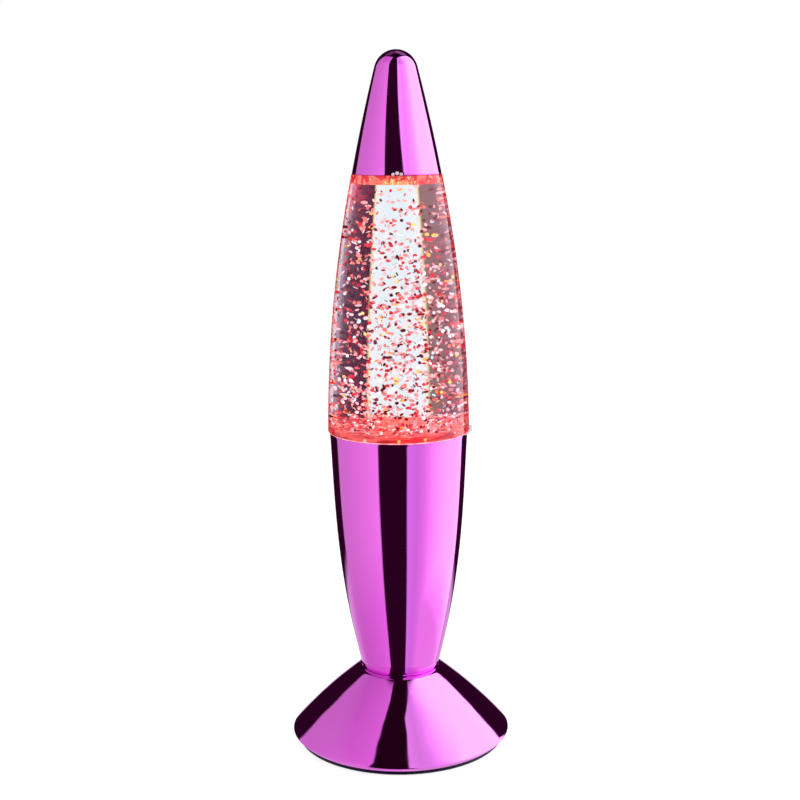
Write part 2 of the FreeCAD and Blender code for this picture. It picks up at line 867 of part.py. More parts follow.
def base_plate():
    """Moulded plate that closes the foot, with the battery bay on its inside."""
    rim = turned_lines([(0, plate_bottom), (plate_rim_radius - plate_chamfer, plate_bottom),
                        (plate_rim_radius, plate_bottom + plate_chamfer),
                        (plate_rim_radius, foot_lip_height), (0, foot_lip_height)])
    parts = [disc(plate_radius, plate_bottom, plate_top), rim,
             battery_bay(bay_wall, plate_bottom, bay_half_length + bay_wall), latch_boss()]
    rib_x = switch_width
    for side in (-1, 1):
        low = side * (switch_length / 2 + screw_gap)
        high = low + side * switch_rib
        parts.append(block((switch_place - rib_x / 2, min(low, high), plate_top),
                           (switch_place + rib_x / 2, max(low, high), plate_top + switch_rib_height)))
    plate = joined(parts)
    cuts = [battery_bay(0, plate_bottom, bay_half_length)]
    slot_half = contact_height / 2 + contact_gap
    for low, high in ((contact_face, bay_half_length), (-bay_half_length, -contact_face)):
        cuts.append(block((-bay_half_width, low, cell_height - slot_half),
                          (bay_half_width, high, cell_height + slot_half)))
    cuts.append(block((-recess_half_width, -recess_half_length, plate_bottom),
                      (recess_half_width, recess_half_length, recess_top)))
    ear_half = ear_width / 2 + door_gap
    cuts.append(block((-ear_half, recess_half_length, plate_bottom),
                      (ear_half, recess_half_length + ear_length + door_gap, recess_top)))
    for x in (-tab_place, tab_place):
        half = tab_width / 2 + tab_room
        far = -recess_half_length - tab_length - tab_room
        cuts.append(block((x - half, far, plate_bottom + tab_lift - tab_room),
                          (x + half, tab_swing - recess_half_length, plate_top)))
    latch_tip = door_screw_seat + door_screw_length + screw_tip_room
    cuts.append(disc(door_screw_radius + latch_clearance, recess_top, latch_tip, 0, latch_place))
    for x, y in around(pad_ring, pad_count):
        cuts.append(disc(pad_radius + glue_gap, plate_bottom, plate_bottom + pad_depth, x, y))
    for x, y in around(pad_ring, pad_count, base_screw_start):
        cuts.append(disc(screw_head_radius + screw_pocket_gap, plate_bottom,
                         plate_bottom + screw_seat(), x, y))
        cuts.append(disc(screw_radius + screw_gap, plate_bottom, plate_top, x, y))
    cuts.append(centred_block(switch_well_width, switch_well_length, plate_bottom, well_top,
                              switch_place, 0))
    slot_length = lever_neck_length + switch_travel + 2 * lever_gap
    cuts.append(centred_block(lever_neck_width + 2 * lever_gap, slot_length, well_top, plate_top,
                              switch_place, 0))
    return plate.cut(Part.makeCompound(cuts))


def base_screws():
    one = screw(screw_radius, screw_head_radius, screw_head_height, base_screw_length)
    seat = plate_bottom + screw_seat()
    return Part.makeCompound([moved(one, x, y, seat)
                              for x, y in around(pad_ring, pad_count, base_screw_start)])


def rubber_pads():
    return Part.makeCompound([disc(pad_radius, 0, plate_bottom + pad_depth, x, y)
                              for x, y in around(pad_ring, pad_count)])


# Battery door

def battery_door():
    """Door with two tabs at one end, and a grip and a screwed ear at the other."""
    panel = joined([block((-door_half_width, -door_half_length, plate_bottom),
                          (door_half_width, door_half_length, door_top)),
                    block((-ear_width / 2, door_half_length, plate_bottom),
                          (ear_width / 2, recess_half_length + ear_length, door_top))])
    parts = [eased(panel, plate_bottom, door_chamfer)]
    tab_bottom = plate_bottom + tab_lift
    for x in (-tab_place, tab_place):
        parts.append(block((x - tab_width / 2, -recess_half_length - tab_length, tab_bottom),
                           (x + tab_width / 2, -door_half_length, tab_bottom + tab_thickness)))
    rib_half = bay_half_width - 2 * door_gap
    for y in (-door_rib_place * bay_half_length, door_rib_place * bay_half_length):
        parts.append(centred_block(2 * rib_half, door_rib_thickness, door_top,
                                   door_top + door_rib_height, 0, y))
    door = joined(parts)
    head_room = door_screw_head_radius + door_gap
    cuts = [disc(head_room, plate_bottom, door_screw_seat, 0, latch_place),
            disc(door_screw_radius + screw_gap, plate_bottom, door_top, 0, latch_place)]
    grip_half = (grip_count - 1) / 2 * grip_pitch
    cuts += grooves(grip_count, grip_pitch, grip_width, grip_length, plate_bottom,
                    plate_bottom + grip_depth, 0, door_half_length - grip_edge - grip_half)
    return door.cut(Part.makeCompound(cuts))


def door_screw():
    one = screw(door_screw_radius, door_screw_head_radius, door_screw_head_height,
                door_screw_length)
    return moved(one, 0, latch_place, door_screw_seat)


# Cells and contacts

def cell(place, facing):
    """One cell on its side, its nub towards +Y or -Y."""
    start = facing * (contact_face - cell_length)
    along = Vector(0, facing, 0)
    body = Part.makeCylinder(cell_radius, cell_length - cell_nub_length,
                             Vector(place, start, cell_height), along)
    nub_start = facing * (contact_face - cell_nub_length)
    nub = Part.makeCylinder(cell_nub_radius, cell_nub_length,
                            Vector(place, nub_start, cell_height), along)
    return joined([body, nub])


def contact_plate(low_x, high_x, side):
    """Flat plate that covers the ends of one or two cells."""
    near = side * contact_face
    far = side * bay_half_length
    return block((low_x - contact_width / 2, min(near, far), cell_height - contact_height / 2),
                 (high_x + contact_width / 2, max(near, far), cell_height + contact_height / 2))


def contact_plates():
    """Single plates for the two leads, and bridges that put the cells in series."""
    left, middle, right = cell_places
    plates = [contact_plate(left, left, 1), contact_plate(middle, right, 1),
              contact_plate(left, middle, -1), contact_plate(right, right, -1)]
    return Part.makeCompound(plates)


def contact_leaf(place, facing):
    """Bent strip that bears on the flat end of a cell from the plate behind it."""
    half = contact_height / 2
    back = leaf_reach - leaf_thickness
    end = leaf_thickness + leaf_end
    outline = [(0, -half), (leaf_thickness, -half), (leaf_thickness, leaf_foot - half),
               (leaf_reach, -leaf_nose), (leaf_reach, leaf_nose), (end, half), (leaf_end, half),
               (back, leaf_nose), (back, -leaf_nose), (0, leaf_foot - half)]
    corners = [Vector(place - leaf_width / 2, facing * (y - contact_face), cell_height + z)
               for y, z in outline]
    strip = Part.Face(Part.makePolygon(corners + corners[:1]))
    return strip.extrude(Vector(leaf_width, 0, 0))


def contact_leaves():
    return Part.makeCompound([contact_leaf(place, facing)
                              for place, facing in zip(cell_places, cell_facings)])


# Power switch

def switch_body():
    body = centred_block(switch_width, switch_length, switch_bottom, switch_top, switch_place, 0)
    slot_length = lever_neck_length + switch_travel + 2 * lever_gap
    slot_top = switch_bottom + lever_neck_height + lever_gap
    slot = centred_block(lever_neck_width + 2 * lever_gap, slot_length, switch_bottom, slot_top,
                         switch_place, 0)
    return body.cut(slot)


def switch_lever():
    """Sliding lever with a grooved knob, at rest at its ON end."""
    y = switch_travel / 2
    knob_bottom = plate_bottom + lever_recess
    knob_top = knob_bottom + lever_knob_height
    knob = centred_block(lever_knob_width, lever_knob_length, knob_bottom, knob_top,
                         switch_place, y)
    neck = centred_block(lever_neck_width, lever_neck_length, knob_bottom,
                         switch_bottom + lever_neck_height, switch_place, y)
    grip = grooves(lever_groove_count, lever_groove_pitch, lever_groove_width, lever_knob_width,
                   knob_bottom, knob_bottom + lever_groove_depth, switch_place, y)
    return joined([knob, neck]).cut(Part.makeCompound(grip))


def save(shape, node):
    if not shape.isValid():
        raise ValueError(node + " is not a valid shape")
    shape.exportStep("parts/" + node + ".step")


pieces = {
    "top_cap": top_cap,
    "bottle": bottle,
    "bottle_lid": bottle_lid,
    "filler_stopper": filler_stopper,
    "bottle_floor": bottle_floor,
    "liquid_fill": liquid_fill,
    "glitter_flakes": glitter_flakes,
    "pivot_pin": pivot_pin,
    "pin_retainer": pin_retainer,
    "stirrer": stirrer,
    "stirrer_magnets": stirrer_magnets,
    "magnet_carrier": magnet_carrier,
    "drive_magnets": drive_magnets,
    "motor_shaft": motor_shaft,
    "motor_can": motor_can,
    "motor_end_cap": motor_end_cap,
    "motor_terminals": motor_terminals,
    "motor_deck": motor_deck,
    "deck_screws": deck_screws,
    "led_board": led_board,
    "board_screws": board_screws,
    "light_bodies": light_bodies,
    "control_chip": control_chip,
    "stem": stem,
    "stem_screws": stem_screws,
    "foot": foot,
    "base_plate": base_plate,
    "base_screws": base_screws,
    "rubber_pads": rubber_pads,
    "battery_door": battery_door,
    "door_screw": door_screw,
    "contact_plates": contact_plates,
    "contact_leaves": contact_leaves,
    "switch_body": switch_body,
    "switch_lever": switch_lever,
}

os.makedirs("parts", exist_ok=True)
for node, make in pieces.items():
    save(make(), node)
for index, (place, facing) in enumerate(zip(cell_places, cell_facings)):
    save(cell(place, facing), "cell_" + str(index + 1))
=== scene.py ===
import math

import bmesh
import bpy
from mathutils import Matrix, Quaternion, Vector, noise

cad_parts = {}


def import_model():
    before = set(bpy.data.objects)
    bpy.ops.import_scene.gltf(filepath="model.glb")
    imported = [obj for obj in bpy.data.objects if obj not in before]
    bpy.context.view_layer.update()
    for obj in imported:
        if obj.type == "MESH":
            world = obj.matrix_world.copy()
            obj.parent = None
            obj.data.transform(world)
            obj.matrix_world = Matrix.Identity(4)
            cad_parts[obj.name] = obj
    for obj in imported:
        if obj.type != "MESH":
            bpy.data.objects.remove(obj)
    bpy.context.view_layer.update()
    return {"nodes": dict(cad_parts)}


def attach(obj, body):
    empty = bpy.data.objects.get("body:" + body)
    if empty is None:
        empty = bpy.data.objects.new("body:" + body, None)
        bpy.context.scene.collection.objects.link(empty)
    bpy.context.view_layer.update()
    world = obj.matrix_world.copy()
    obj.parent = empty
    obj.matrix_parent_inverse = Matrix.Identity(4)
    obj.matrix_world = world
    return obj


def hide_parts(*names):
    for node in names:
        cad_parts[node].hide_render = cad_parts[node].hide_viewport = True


# Looks of the glitter lamp: mirror-plated cap, stem and foot, a clear bottle of liquid lit red
# from below, and three pieces of glitter, 2,650 flakes in all. Metres, +Z up, front towards -Y.

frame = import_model()
nodes = frame["nodes"]
MM = 0.001


# Sizes of the parts that show, in millimetres and degrees, as the source of the part has them

LAMP_TOP = 340.0
BOTTLE_TOP = 282.1
BOTTLE_BOTTOM = 157.8
STEM_BOTTOM = 37.4
CAP_TIP_RADIUS = 10.55
CAP_RIM_RADIUS = 21.5
CAP_SIDE_BULGE = 0.42
CAP_WALL = 1.8
BOTTLE_RADII = (34.6, 31.15, 21.65)
BOTTLE_WALL = 3.0
REBATE = 0.8
LID_THICKNESS = 4.4
FLOOR_THICKNESS = 3.0
SKIRT_LENGTH = 5.0
SKIRT_WALL = 1.8
SKIRT_GAP = 0.25
STEM_RADII = (33.8, 32.25, 29.9, 25.6, 19.0)
STEM_WALL = 2.0
STEM_FLOOR = 2.0
LEAD_OPENING_RADIUS = 9.0
WEB_TOP = 33.0
WEB_THICKNESS = 2.5
FOOT_CORNER = (54.57, 4.83)
FOOT_LIP = (51.3, 1.7)
FOOT_BORE = 19.3
FOOT_LAND = 1.5
FOOT_BULGE = 1.1
FOOT_WALL = 2.0
LIGHT_COUNT = 3
LIGHT_RING = 19.0
LIGHT_START = -75.0

FLOOR_TOP = BOTTLE_BOTTOM + FLOOR_THICKNESS
LID_BOTTOM = BOTTLE_TOP - LID_THICKNESS


# How many sides and steps the turned meshes have, and where they are smooth, in degrees

TURN_SIDES = 224
BOTTLE_SIDES = 288
CAP_TIP_STEPS = 28
CAP_CORE_STEPS = 12
CAP_SIDE_STEPS = 40
BOTTLE_STEPS = 80
BORE_STEPS = 60
STEM_STEPS = 90
STEM_CORE_STEPS = 15
FOOT_STEPS = 60
SMOOTH_ANGLE = 24

# Steps of the foot's arc that the rounding at each end takes up
FOOT_TRIM = 3


# Roundings of the turned meshes and their overlaps with others, in millimetres

CAP_LIP_ROUND = 0.35
BOTTLE_EDGE_ROUND = 0.7
BOTTLE_EDGE_HEIGHT = 1.2
STEM_LIP_ROUND = 0.3
FOOT_LAND_ROUND = 3.3
FOOT_CORNER_ROUND = 0.5
LIQUID_OVERLAP = 0.06
PLATE_OVERLAP = 0.03


# How acrylic and liquid bend light, and how far the red light shows in them, in millimetres

CLEAR_INDEX = 1.49
LIQUID_INDEX = 1.36
STREAK_REACH = 22.0
LIGHT_SPOT = 9.0
OUTER_RING = 27.0
OUTER_SPOT = 14.0
WARM_REACH = 12.0
WARM_MIDDLE = 2.0


# Colours

def rgb(red, green, blue):
    """An opaque colour in the renderer's linear steps."""
    return (red, green, blue, 1.0)


def screen(red, green, blue):
    """A colour given in 0 to 255 screen steps, as the renderer's linear colour."""
    def linear(step):
        share = step / 255
        return share / 12.92 if share <= 0.04045 else ((share + 0.055) / 1.055) ** 2.4
    return rgb(linear(red), linear(green), linear(blue))


WHITE = rgb(1.0, 1.0, 1.0)
BLACK = rgb(0.0, 0.0, 0.0)


# Node trees written as sums

class Socket:
    """One output in a node tree, worked with like a number."""

    def __init__(self, plan, out):
        self.plan, self.out = plan, out

    def __add__(self, other):
        return self.plan.maths("ADD", self, other)

    def __sub__(self, other):
        return self.plan.maths("SUBTRACT", self, other)

    def __rsub__(self, other):
        return self.plan.maths("SUBTRACT", other, self)

    def __mul__(self, other):
        return self.plan.maths("MULTIPLY", self, other)

    def __truediv__(self, other):
        return self.plan.maths("DIVIDE", self, other)

    def __pow__(self, other):
        return self.plan.maths("POWER", self, other)

    def __gt__(self, other):
        return self.plan.maths("GREATER_THAN", self, other)

    def __lt__(self, other):
        return self.plan.maths("LESS_THAN", self, other)

    def clamped(self, low, high, to_low=0.0, to_high=1.0):
        """Goes from to_low where this is low to to_high where it is high, and no further."""
        return self.plan.add("ShaderNodeMapRange", {0: self, 1: low, 2: high, 3: to_low, 4: to_high})

    def part(self, axis):
        return self.plan.add("ShaderNodeSeparateXYZ", {0: self}, out=axis)


class Plan:
    """A node tree being laid out; add() makes a node and gives back one of its outputs."""

    def __init__(self, tree):
        self.tree = tree

    def add(self, kind, inputs=None, out=0, **settings):
        node = self.tree.nodes.new(kind)
        for name, value in settings.items():
            setattr(node, name, value)
        for key, value in (inputs or {}).items():
            if isinstance(value, Socket):
                self.tree.links.new(value.out, node.inputs[key])
            else:
                node.inputs[key].default_value = value
        return Socket(self, node.outputs[out])

    def maths(self, operation, *values):
        return self.add("ShaderNodeMath", dict(enumerate(values)), operation=operation)

    def mixed(self, share, first, second):
        return self.add("ShaderNodeMix", {0: share, 6: first, 7: second}, out=2, data_type="RGBA")

    def highest(self, first, second):
        return self.maths("MAXIMUM", first, second)

    def place(self, *scale):
        """Place on the object, stretched along its three axes if scales are given."""
        place = self.add("ShaderNodeTexCoord", out="Object")
        if not scale:
            return place
        return self.add("ShaderNodeMapping", {"Vector": place, "Scale": scale})

    def noise(self, scale, detail=2.0, place=None):
        place = place or self.place()
        return self.add("ShaderNodeTexNoise", {"Vector": place, "Scale": scale, "Detail": detail})

    def bump(self, height, strength, distance):
        return self.add("ShaderNodeBump", {"Height": height, "Strength": strength,
                                           "Distance": distance})

    def ramp(self, value, stops, interpolation="LINEAR"):
        """A colour that follows (value, colour) stops, with values from 0 to 1."""
        node = self.add("ShaderNodeValToRGB", {0: value})
        ramp = node.out.node.color_ramp
        ramp.interpolation = interpolation
        while len(ramp.elements) < len(stops):
            ramp.elements.new(1.0)
        for element, (position, color) in zip(ramp.elements, stops):
            element.position = position
            element.color = rgb(*color)
        return node

    def line(self, value, stops):
        """A level that goes in straight lines through (value, level) stops."""
        start, end = stops[0][0], stops[-1][0]
        low, high = min(level for _, level in stops), max(level for _, level in stops)
        node = self.add("ShaderNodeFloatCurve", {"Value": value.clamped(start, end)})
        mapping = node.out.node.mapping
        points = mapping.curves[0].points
        while len(points) < len(stops):
            points.new(0.5, 0.5)
        for point, (stop, level) in zip(points, stops):
            point.location = ((stop - start) / (end - start), (level - low) / (high - low))
            point.handle_type = "VECTOR"
        mapping.update()
        return node * (high - low) + low


class Finish:
    """A material with one main shader, and the plan of its tree. Further values are named as
    their sockets are, in small letters."""

    def __init__(self, name, color, roughness, **values):
        self.material = bpy.data.materials.new(name)
        self.material.use_nodes = True
        tree = self.material.node_tree
        self.shader = tree.nodes["Principled BSDF"]
        self.plan = Plan(tree)
        self.set("Base Color", color)
        self.set("Roughness", roughness)
        for key, value in values.items():
            self.set(key.replace("_", " ").title().replace("Ior", "IOR"), value)

    def set(self, name, value):
        if isinstance(value, Socket):
            self.plan.tree.links.new(value.out, self.shader.inputs[name])
        else:
            self.shader.inputs[name].default_value = value


SHEEN_SPREAD = 0.06


def textured(name, color, roughness, grain, depth, **values):
    """A plain finish with a fine grain in its surface and its sheen."""
    finish = Finish(name, color, roughness, **values)
    speckle = finish.plan.noise(grain, 3.0)
    dull, bright = roughness + SHEEN_SPREAD, roughness - SHEEN_SPREAD
    finish.set("Roughness", speckle.clamped(0.3, 0.7, bright, dull))
    finish.set("Normal", finish.plan.bump(speckle, 0.5, depth))
    return finish.material


# Finishes of the pieces that show

def plated_finish(name, waves, depth):
    """Purple mirror plating, with the waviness of the moulded plastic below it."""
    finish = Finish(name, rgb(0.78, 0.155, 0.75), 0.05, metallic=1.0)
    swell = finish.plan.noise(waves, 1.0)
    finish.set("Normal", finish.plan.bump(swell, 1.0, depth))
    haze = finish.plan.noise(90.0, 4.0)
    finish.set("Roughness", haze.clamped(0.4, 0.7, 0.04, 0.075))
    return finish.material


def clear_finish():
    """Clear acrylic. The light led up the wall leaves it as a red sheen along its edges."""
    finish = Finish("clear_acrylic", WHITE, 0.0, transmission_weight=1.0, ior=CLEAR_INDEX,
                    specular_tint=rgb(0.78, 0.36, 0.6), sheen_weight=1.0, sheen_roughness=0.28,
                    sheen_tint=rgb(1.0, 0.05, 0.07))
    return finish.material


def wetted_finish():
    """Face of the acrylic that the liquid touches; it bends light only by their difference. The
    light led up the wall is painted on it as red glow in streaks below the lid, strong on the
    left side and weaker on the right."""
    finish = Finish("wetted_acrylic", WHITE, 0.0, transmission_weight=1.0,
                    ior=CLEAR_INDEX / LIQUID_INDEX)
    plan = finish.plan
    near_lid = plan.place().part("Z").clamped((LID_BOTTOM - STREAK_REACH) * MM, LID_BOTTOM * MM)
    across = plan.place().part("X") / (bottle_radius(LID_BOTTOM) * MM)
    # Painted glow: strong on the left side, weaker on the right, not all round
    side = plan.highest(across.clamped(-0.45, -0.85), across.clamped(0.75, 1.0) * 0.35)
    glow_streaks = plan.noise(260.0, 3.0, plan.place(1.0, 1.0, 2.5)).clamped(0.44, 0.6, 0.15, 1.1)
    glow = plan.mixed(near_lid * near_lid * side * glow_streaks, BLACK, rgb(1.0, 0.035, 0.08))
    finish.set("Emission Color", glow)
    finish.set("Emission Strength", 1.0)
    return finish.material


def seam_finish():
    """Lower edge of the bottle, hazed by glue. Its glow, dark red to pale pink, is painted light
    that the wall leads down to it.
    """
    finish = Finish("seam_glue_and_glow", rgb(1.0, 0.72, 0.68), 0.35, transmission_weight=0.4,
                    ior=CLEAR_INDEX)
    glow_smears = finish.plan.noise(260.0, 4.0)
    # Painted glow for the light the wall leads down, in smears
    glow = finish.plan.mixed(glow_smears.clamped(0.44, 0.56), screen(190, 30, 44), screen(255, 214, 200))
    finish.set("Emission Color", glow)
    finish.set("Emission Strength", 0.6)
    return finish.material


def glue_finish():
    """Milky glue, lumpy where it set."""
    finish = Finish("set_glue", rgb(0.95, 0.92, 0.92), 0.12, transmission_weight=0.45, ior=1.46)
    lumps = finish.plan.noise(900.0)
    finish.set("Normal", finish.plan.bump(lumps, 0.6, 0.0003))
    return finish.material


def liquid_finish():
    """The liquid's own skin bends nothing, as the wetted faces round it already do."""
    return Finish("clear_liquid", WHITE, 0.0, transmission_weight=1.0, ior=1.0).material


def light_spots(plan, reach, ring):
    """1 near each light below the floor, falling to 0 at a reach in millimetres. The ring is
    the radius on which the light shows."""
    spots = 0.0
    for index in range(LIGHT_COUNT):
        angle = math.radians(LIGHT_START + index * 360 / LIGHT_COUNT)
        spot = (ring * MM * math.cos(angle), ring * MM * math.sin(angle), FLOOR_TOP * MM)
        away = plan.add("ShaderNodeVectorMath", {0: plan.place(), 1: spot}, out="Value",
                        operation="DISTANCE")
        spots = plan.highest(spots, away.clamped(reach * MM, reach * MM / 2))
    return spots


def lit_floor_finish():
    """Clear floor painted red in colour and glow for the lights under it, with painted glints of
    flakes that lie on it.
    """
    finish = Finish("lit_floor", rgb(0.35, 0.03, 0.035), 0.25, transmission_weight=0.25,
                    ior=CLEAR_INDEX, specular_tint=rgb(1.0, 0.45, 0.5))
    plan = finish.plan
    cloud = plan.noise(210.0, 4.0, plan.place(0.45, 0.8, 2.4))
    patches = plan.noise(80.0)
    glow = plan.mixed(cloud.clamped(0.47, 0.54), screen(160, 2, 12), screen(240, 92, 88))
    glow = plan.mixed(patches.clamped(0.49, 0.57) * 0.45, glow, screen(242, 120, 114))
    lit = plan.highest(light_spots(plan, LIGHT_SPOT, LIGHT_RING),
                       light_spots(plan, OUTER_SPOT, OUTER_RING))
    glow = plan.mixed(lit * cloud.clamped(0.58, 0.46, 0.4, 1.0), glow, screen(222, 2, 10))
    # Painted glints: spots of red, pale pink and yellow glow for flakes lying on the floor
    cells = plan.add("ShaderNodeTexVoronoi", {"Vector": plan.place(), "Scale": 430.0})
    pick = Socket(plan, cells.out.node.outputs["Color"])
    glowing_film = plan.mixed(pick.part("Y") > 0.55, screen(214, 8, 24), screen(255, 206, 200))
    glowing_film = plan.mixed(pick.part("Y") > 0.9, glowing_film, screen(255, 216, 120))
    glow = plan.mixed((cells < 0.36) * (pick.part("X") < 0.34), glow, glowing_film)
    finish.set("Emission Color", glow)
    finish.set("Emission Strength", 0.8)
    finish.set("Normal", plan.bump(cloud, 0.4, 0.0003))
    return finish.material


def lit_lid_finish():
    """Clear lid painted red in colour and glow for the light its edge catches, warmer low down
    towards the middle at front and back, with painted bright glints.
    """
    finish = Finish("lit_lid", rgb(0.4, 0.03, 0.04), 0.2, transmission_weight=0.2, ior=CLEAR_INDEX,
                    specular_tint=rgb(1.0, 0.45, 0.5))
    plan = finish.plan
    cloud = plan.noise(330.0, 4.0)
    low = plan.place().part("Z").clamped(BOTTLE_TOP * MM, LID_BOTTOM * MM)
    deep = plan.mixed(low, screen(190, 4, 34), screen(222, 40, 56))
    glow = plan.mixed((cloud + low * 0.05).clamped(0.5, 0.6), deep, screen(250, 134, 118))
    across = plan.maths("ABSOLUTE", plan.place().part("X"))
    # Painted warm glow near the middle of the lid, at front and back alike
    front = across.clamped(WARM_REACH * MM, WARM_MIDDLE * MM)
    warm = front * low * cloud.clamped(0.4, 0.6)
    glow = plan.mixed(warm * 0.8, glow, screen(250, 190, 110))
    # Painted glints
    spark = (plan.noise(700.0, 1.0) + front * low * 0.14) > 0.67
    glow = plan.mixed(spark, glow, screen(255, 236, 160))
    finish.set("Emission Color", glow)
    finish.set("Emission Strength", 0.85)
    return finish.material


def glitter_finish():
    """Metallised film: each flake keeps its own tint, partly a painted reflection, and some have
    painted glow for the light below.
    """
    finish = Finish("glitter_film", rgb(0.9, 0.4, 0.4), 0.22, metallic=1.0)
    plan = finish.plan
    for socket, name in (("Base Color", "flake_tint_and_reflection"), ("Emission Color", "flake_glow")):
        finish.set(socket, plan.add("ShaderNodeAttribute", out="Color", attribute_name=name))
    finish.set("Emission Strength", 1.0)
    return finish.material


# Circles and roundings

def circle_through(first, second, third):
    """Centre and radius of the circle through three points."""
    (ax, ay), (bx, by), (cx, cy) = first, second, third
    spread = 2 * (ax * (by - cy) + bx * (cy - ay) + cx * (ay - by))
    a, b, c = ax * ax + ay * ay, bx * bx + by * by, cx * cx + cy * cy
    x = (a * (by - cy) + b * (cy - ay) + c * (ay - by)) / spread
    y = (a * (cx - bx) + b * (ax - cx) + c * (bx - ax)) / spread
    return x, y, math.hypot(ax - x, ay - y)


def along_arc(start, middle, end, steps):
    """Points on the circle through three points, from the first to the last."""
    x, y, radius = circle_through(start, middle, end)
    first = math.atan2(start[1] - y, start[0] - x)
    turn = math.atan2(end[1] - y, end[0] - x) - first
    turn = (turn + math.pi) % (2 * math.pi) - math.pi
    return [(x + radius * math.cos(first + turn * step / steps),
             y + radius * math.sin(first + turn * step / steps)) for step in range(steps + 1)]


def rounded(before, corner, after, radius, steps):
    """Points that round a corner off between its two neighbours."""
    corner, before, after = Vector(corner), Vector(before), Vector(after)
    back, ahead = (before - corner).normalized(), (after - corner).normalized()
    half = back.angle(ahead) / 2
    run = radius / math.tan(half)
    start, end = corner + back * run, corner + ahead * run
    centre = corner + (back + ahead).normalized() * (radius / math.sin(half))
    middle = centre + (corner - centre).normalized() * radius
    return along_arc(start[:], middle[:], end[:], steps)


# Meshes and pieces

def ring_of(shape, radius, height, sides):
    """Corners of one turn about the lamp's axis; on the axis they are all the same one."""
    if radius < 1e-6:
        return [shape.verts.new((0, 0, height * MM))] * sides
    angles = [2 * math.pi * side / sides for side in range(sides)]
    return [shape.verts.new((radius * MM * math.cos(angle), radius * MM * math.sin(angle),
                             height * MM)) for angle in angles]


def finished_mesh(name, shape):
    """The shaped mesh, shaded smooth."""
    mesh = bpy.data.meshes.new(name)
    shape.to_mesh(mesh)
    shape.free()
    mesh.shade_smooth()
    return mesh


def linked(name, data):
    """A new object in the scene."""
    thing = bpy.data.objects.new(name, data)
    bpy.context.scene.collection.objects.link(thing)
    return thing


def piece(name, mesh, body="lamp", replaces=()):
    """A visible piece of the lamp, with its body and the nodes that it stands for."""
    thing = linked(name, mesh)
    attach(thing, body)
    if replaces:
        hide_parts(*replaces)


def turned(name, outline, finish, replaces, sides=TURN_SIDES, linings=()):
    """A piece turned from a closed outline of (radius, height) points in millimetres. Each
    lining is a further finish, and the numbers of the outline's steps that have it."""
    shape = bmesh.new()
    rings = [ring_of(shape, radius, height, sides) for radius, height in outline]
    for step, (near, far) in enumerate(zip(rings, rings[1:] + rings[:1])):
        look = sum(index for index, (_, steps) in enumerate(linings, 1) if step in steps)
        for side in range(sides):
            after = (side + 1) % sides
            corners = list(dict.fromkeys([near[side], near[after], far[after], far[side]]))
            if len(corners) > 2:
                shape.faces.new(corners).material_index = look
    bmesh.ops.recalc_face_normals(shape, faces=shape.faces)
    mesh = finished_mesh(name, shape)
    mesh.set_sharp_from_angle(angle=math.radians(SMOOTH_ANGLE))
    for material in [finish] + [lining for lining, _ in linings]:
        mesh.materials.append(material)
    piece(name, mesh, replaces=replaces)


# Outlines, as (radius, height) in millimetres

BOTTLE_MIDDLE = (BOTTLE_BOTTOM + BOTTLE_TOP) / 2
ARC_X, ARC_Y, ARC_RADIUS = circle_through(
    *zip(BOTTLE_RADII, (BOTTLE_BOTTOM, BOTTLE_MIDDLE, BOTTLE_TOP)))


def bottle_radius(height):
    """Outer radius of the bottle, whose side is one arc."""
    return ARC_X + math.sqrt(ARC_RADIUS ** 2 - (height - ARC_Y) ** 2)


def side_of_bottle(inset, low, high, steps):
    """Points on the bottle's side, or as far inside it as the inset says."""
    heights = [low + (high - low) * step / steps for step in range(steps + 1)]
    return [(bottle_radius(height) - inset, height) for height in heights]


def stem_radius(height):
    """Smooth curve through five radii at even steps down the stem."""
    last = len(STEM_RADII) - 1
    place = (BOTTLE_BOTTOM - height) / (BOTTLE_BOTTOM - STEM_BOTTOM) * last
    total = 0.0
    for index, radius in enumerate(STEM_RADII):
        others = [other for other in range(last + 1) if other != index]
        total += radius * math.prod((place - other) / (index - other) for other in others)
    return total


def cap_tangent():
    """Angle from straight up at which the cap's side leaves its round tip. The side's slight
    bulge turns its end by four times its height over the side's length."""
    drop = LAMP_TOP - BOTTLE_TOP - CAP_TIP_RADIUS
    reach = math.hypot(CAP_RIM_RADIUS, drop)
    angle = math.atan2(drop, CAP_RIM_RADIUS) + math.asin(CAP_TIP_RADIUS / reach)
    side = math.sqrt(reach ** 2 - CAP_TIP_RADIUS ** 2)
    return angle - 4 * CAP_SIDE_BULGE / side


def tip_arc(radius, steps):
    """Points about the centre of the cap's tip, from straight up to where its side starts."""
    angles = [cap_tangent() * step / steps for step in range(steps + 1)]
    return [(radius * math.sin(angle), LAMP_TOP - CAP_TIP_RADIUS + radius * math.cos(angle))
            for angle in angles]


# Pieces

def top_cap(finish):
    """Hollow plated cone with a round tip."""
    tip = tip_arc(CAP_TIP_RADIUS, CAP_TIP_STEPS)
    core = tip_arc(CAP_TIP_RADIUS - CAP_WALL, CAP_CORE_STEPS)
    rim, inner_rim = (CAP_RIM_RADIUS, BOTTLE_TOP), (CAP_RIM_RADIUS - CAP_WALL, BOTTLE_TOP)
    belly = ((tip[-1][0] + rim[0]) / 2 + CAP_SIDE_BULGE, (tip[-1][1] + rim[1]) / 2)
    side = along_arc(tip[-1], belly, rim, CAP_SIDE_STEPS)[1:-1]
    lip = rounded(side[-1], rim, inner_rim, CAP_LIP_ROUND, 4)
    outline = tip + side + lip + [inner_rim] + core[::-1]
    turned("cap_shell", outline, finish, ["top_cap"])


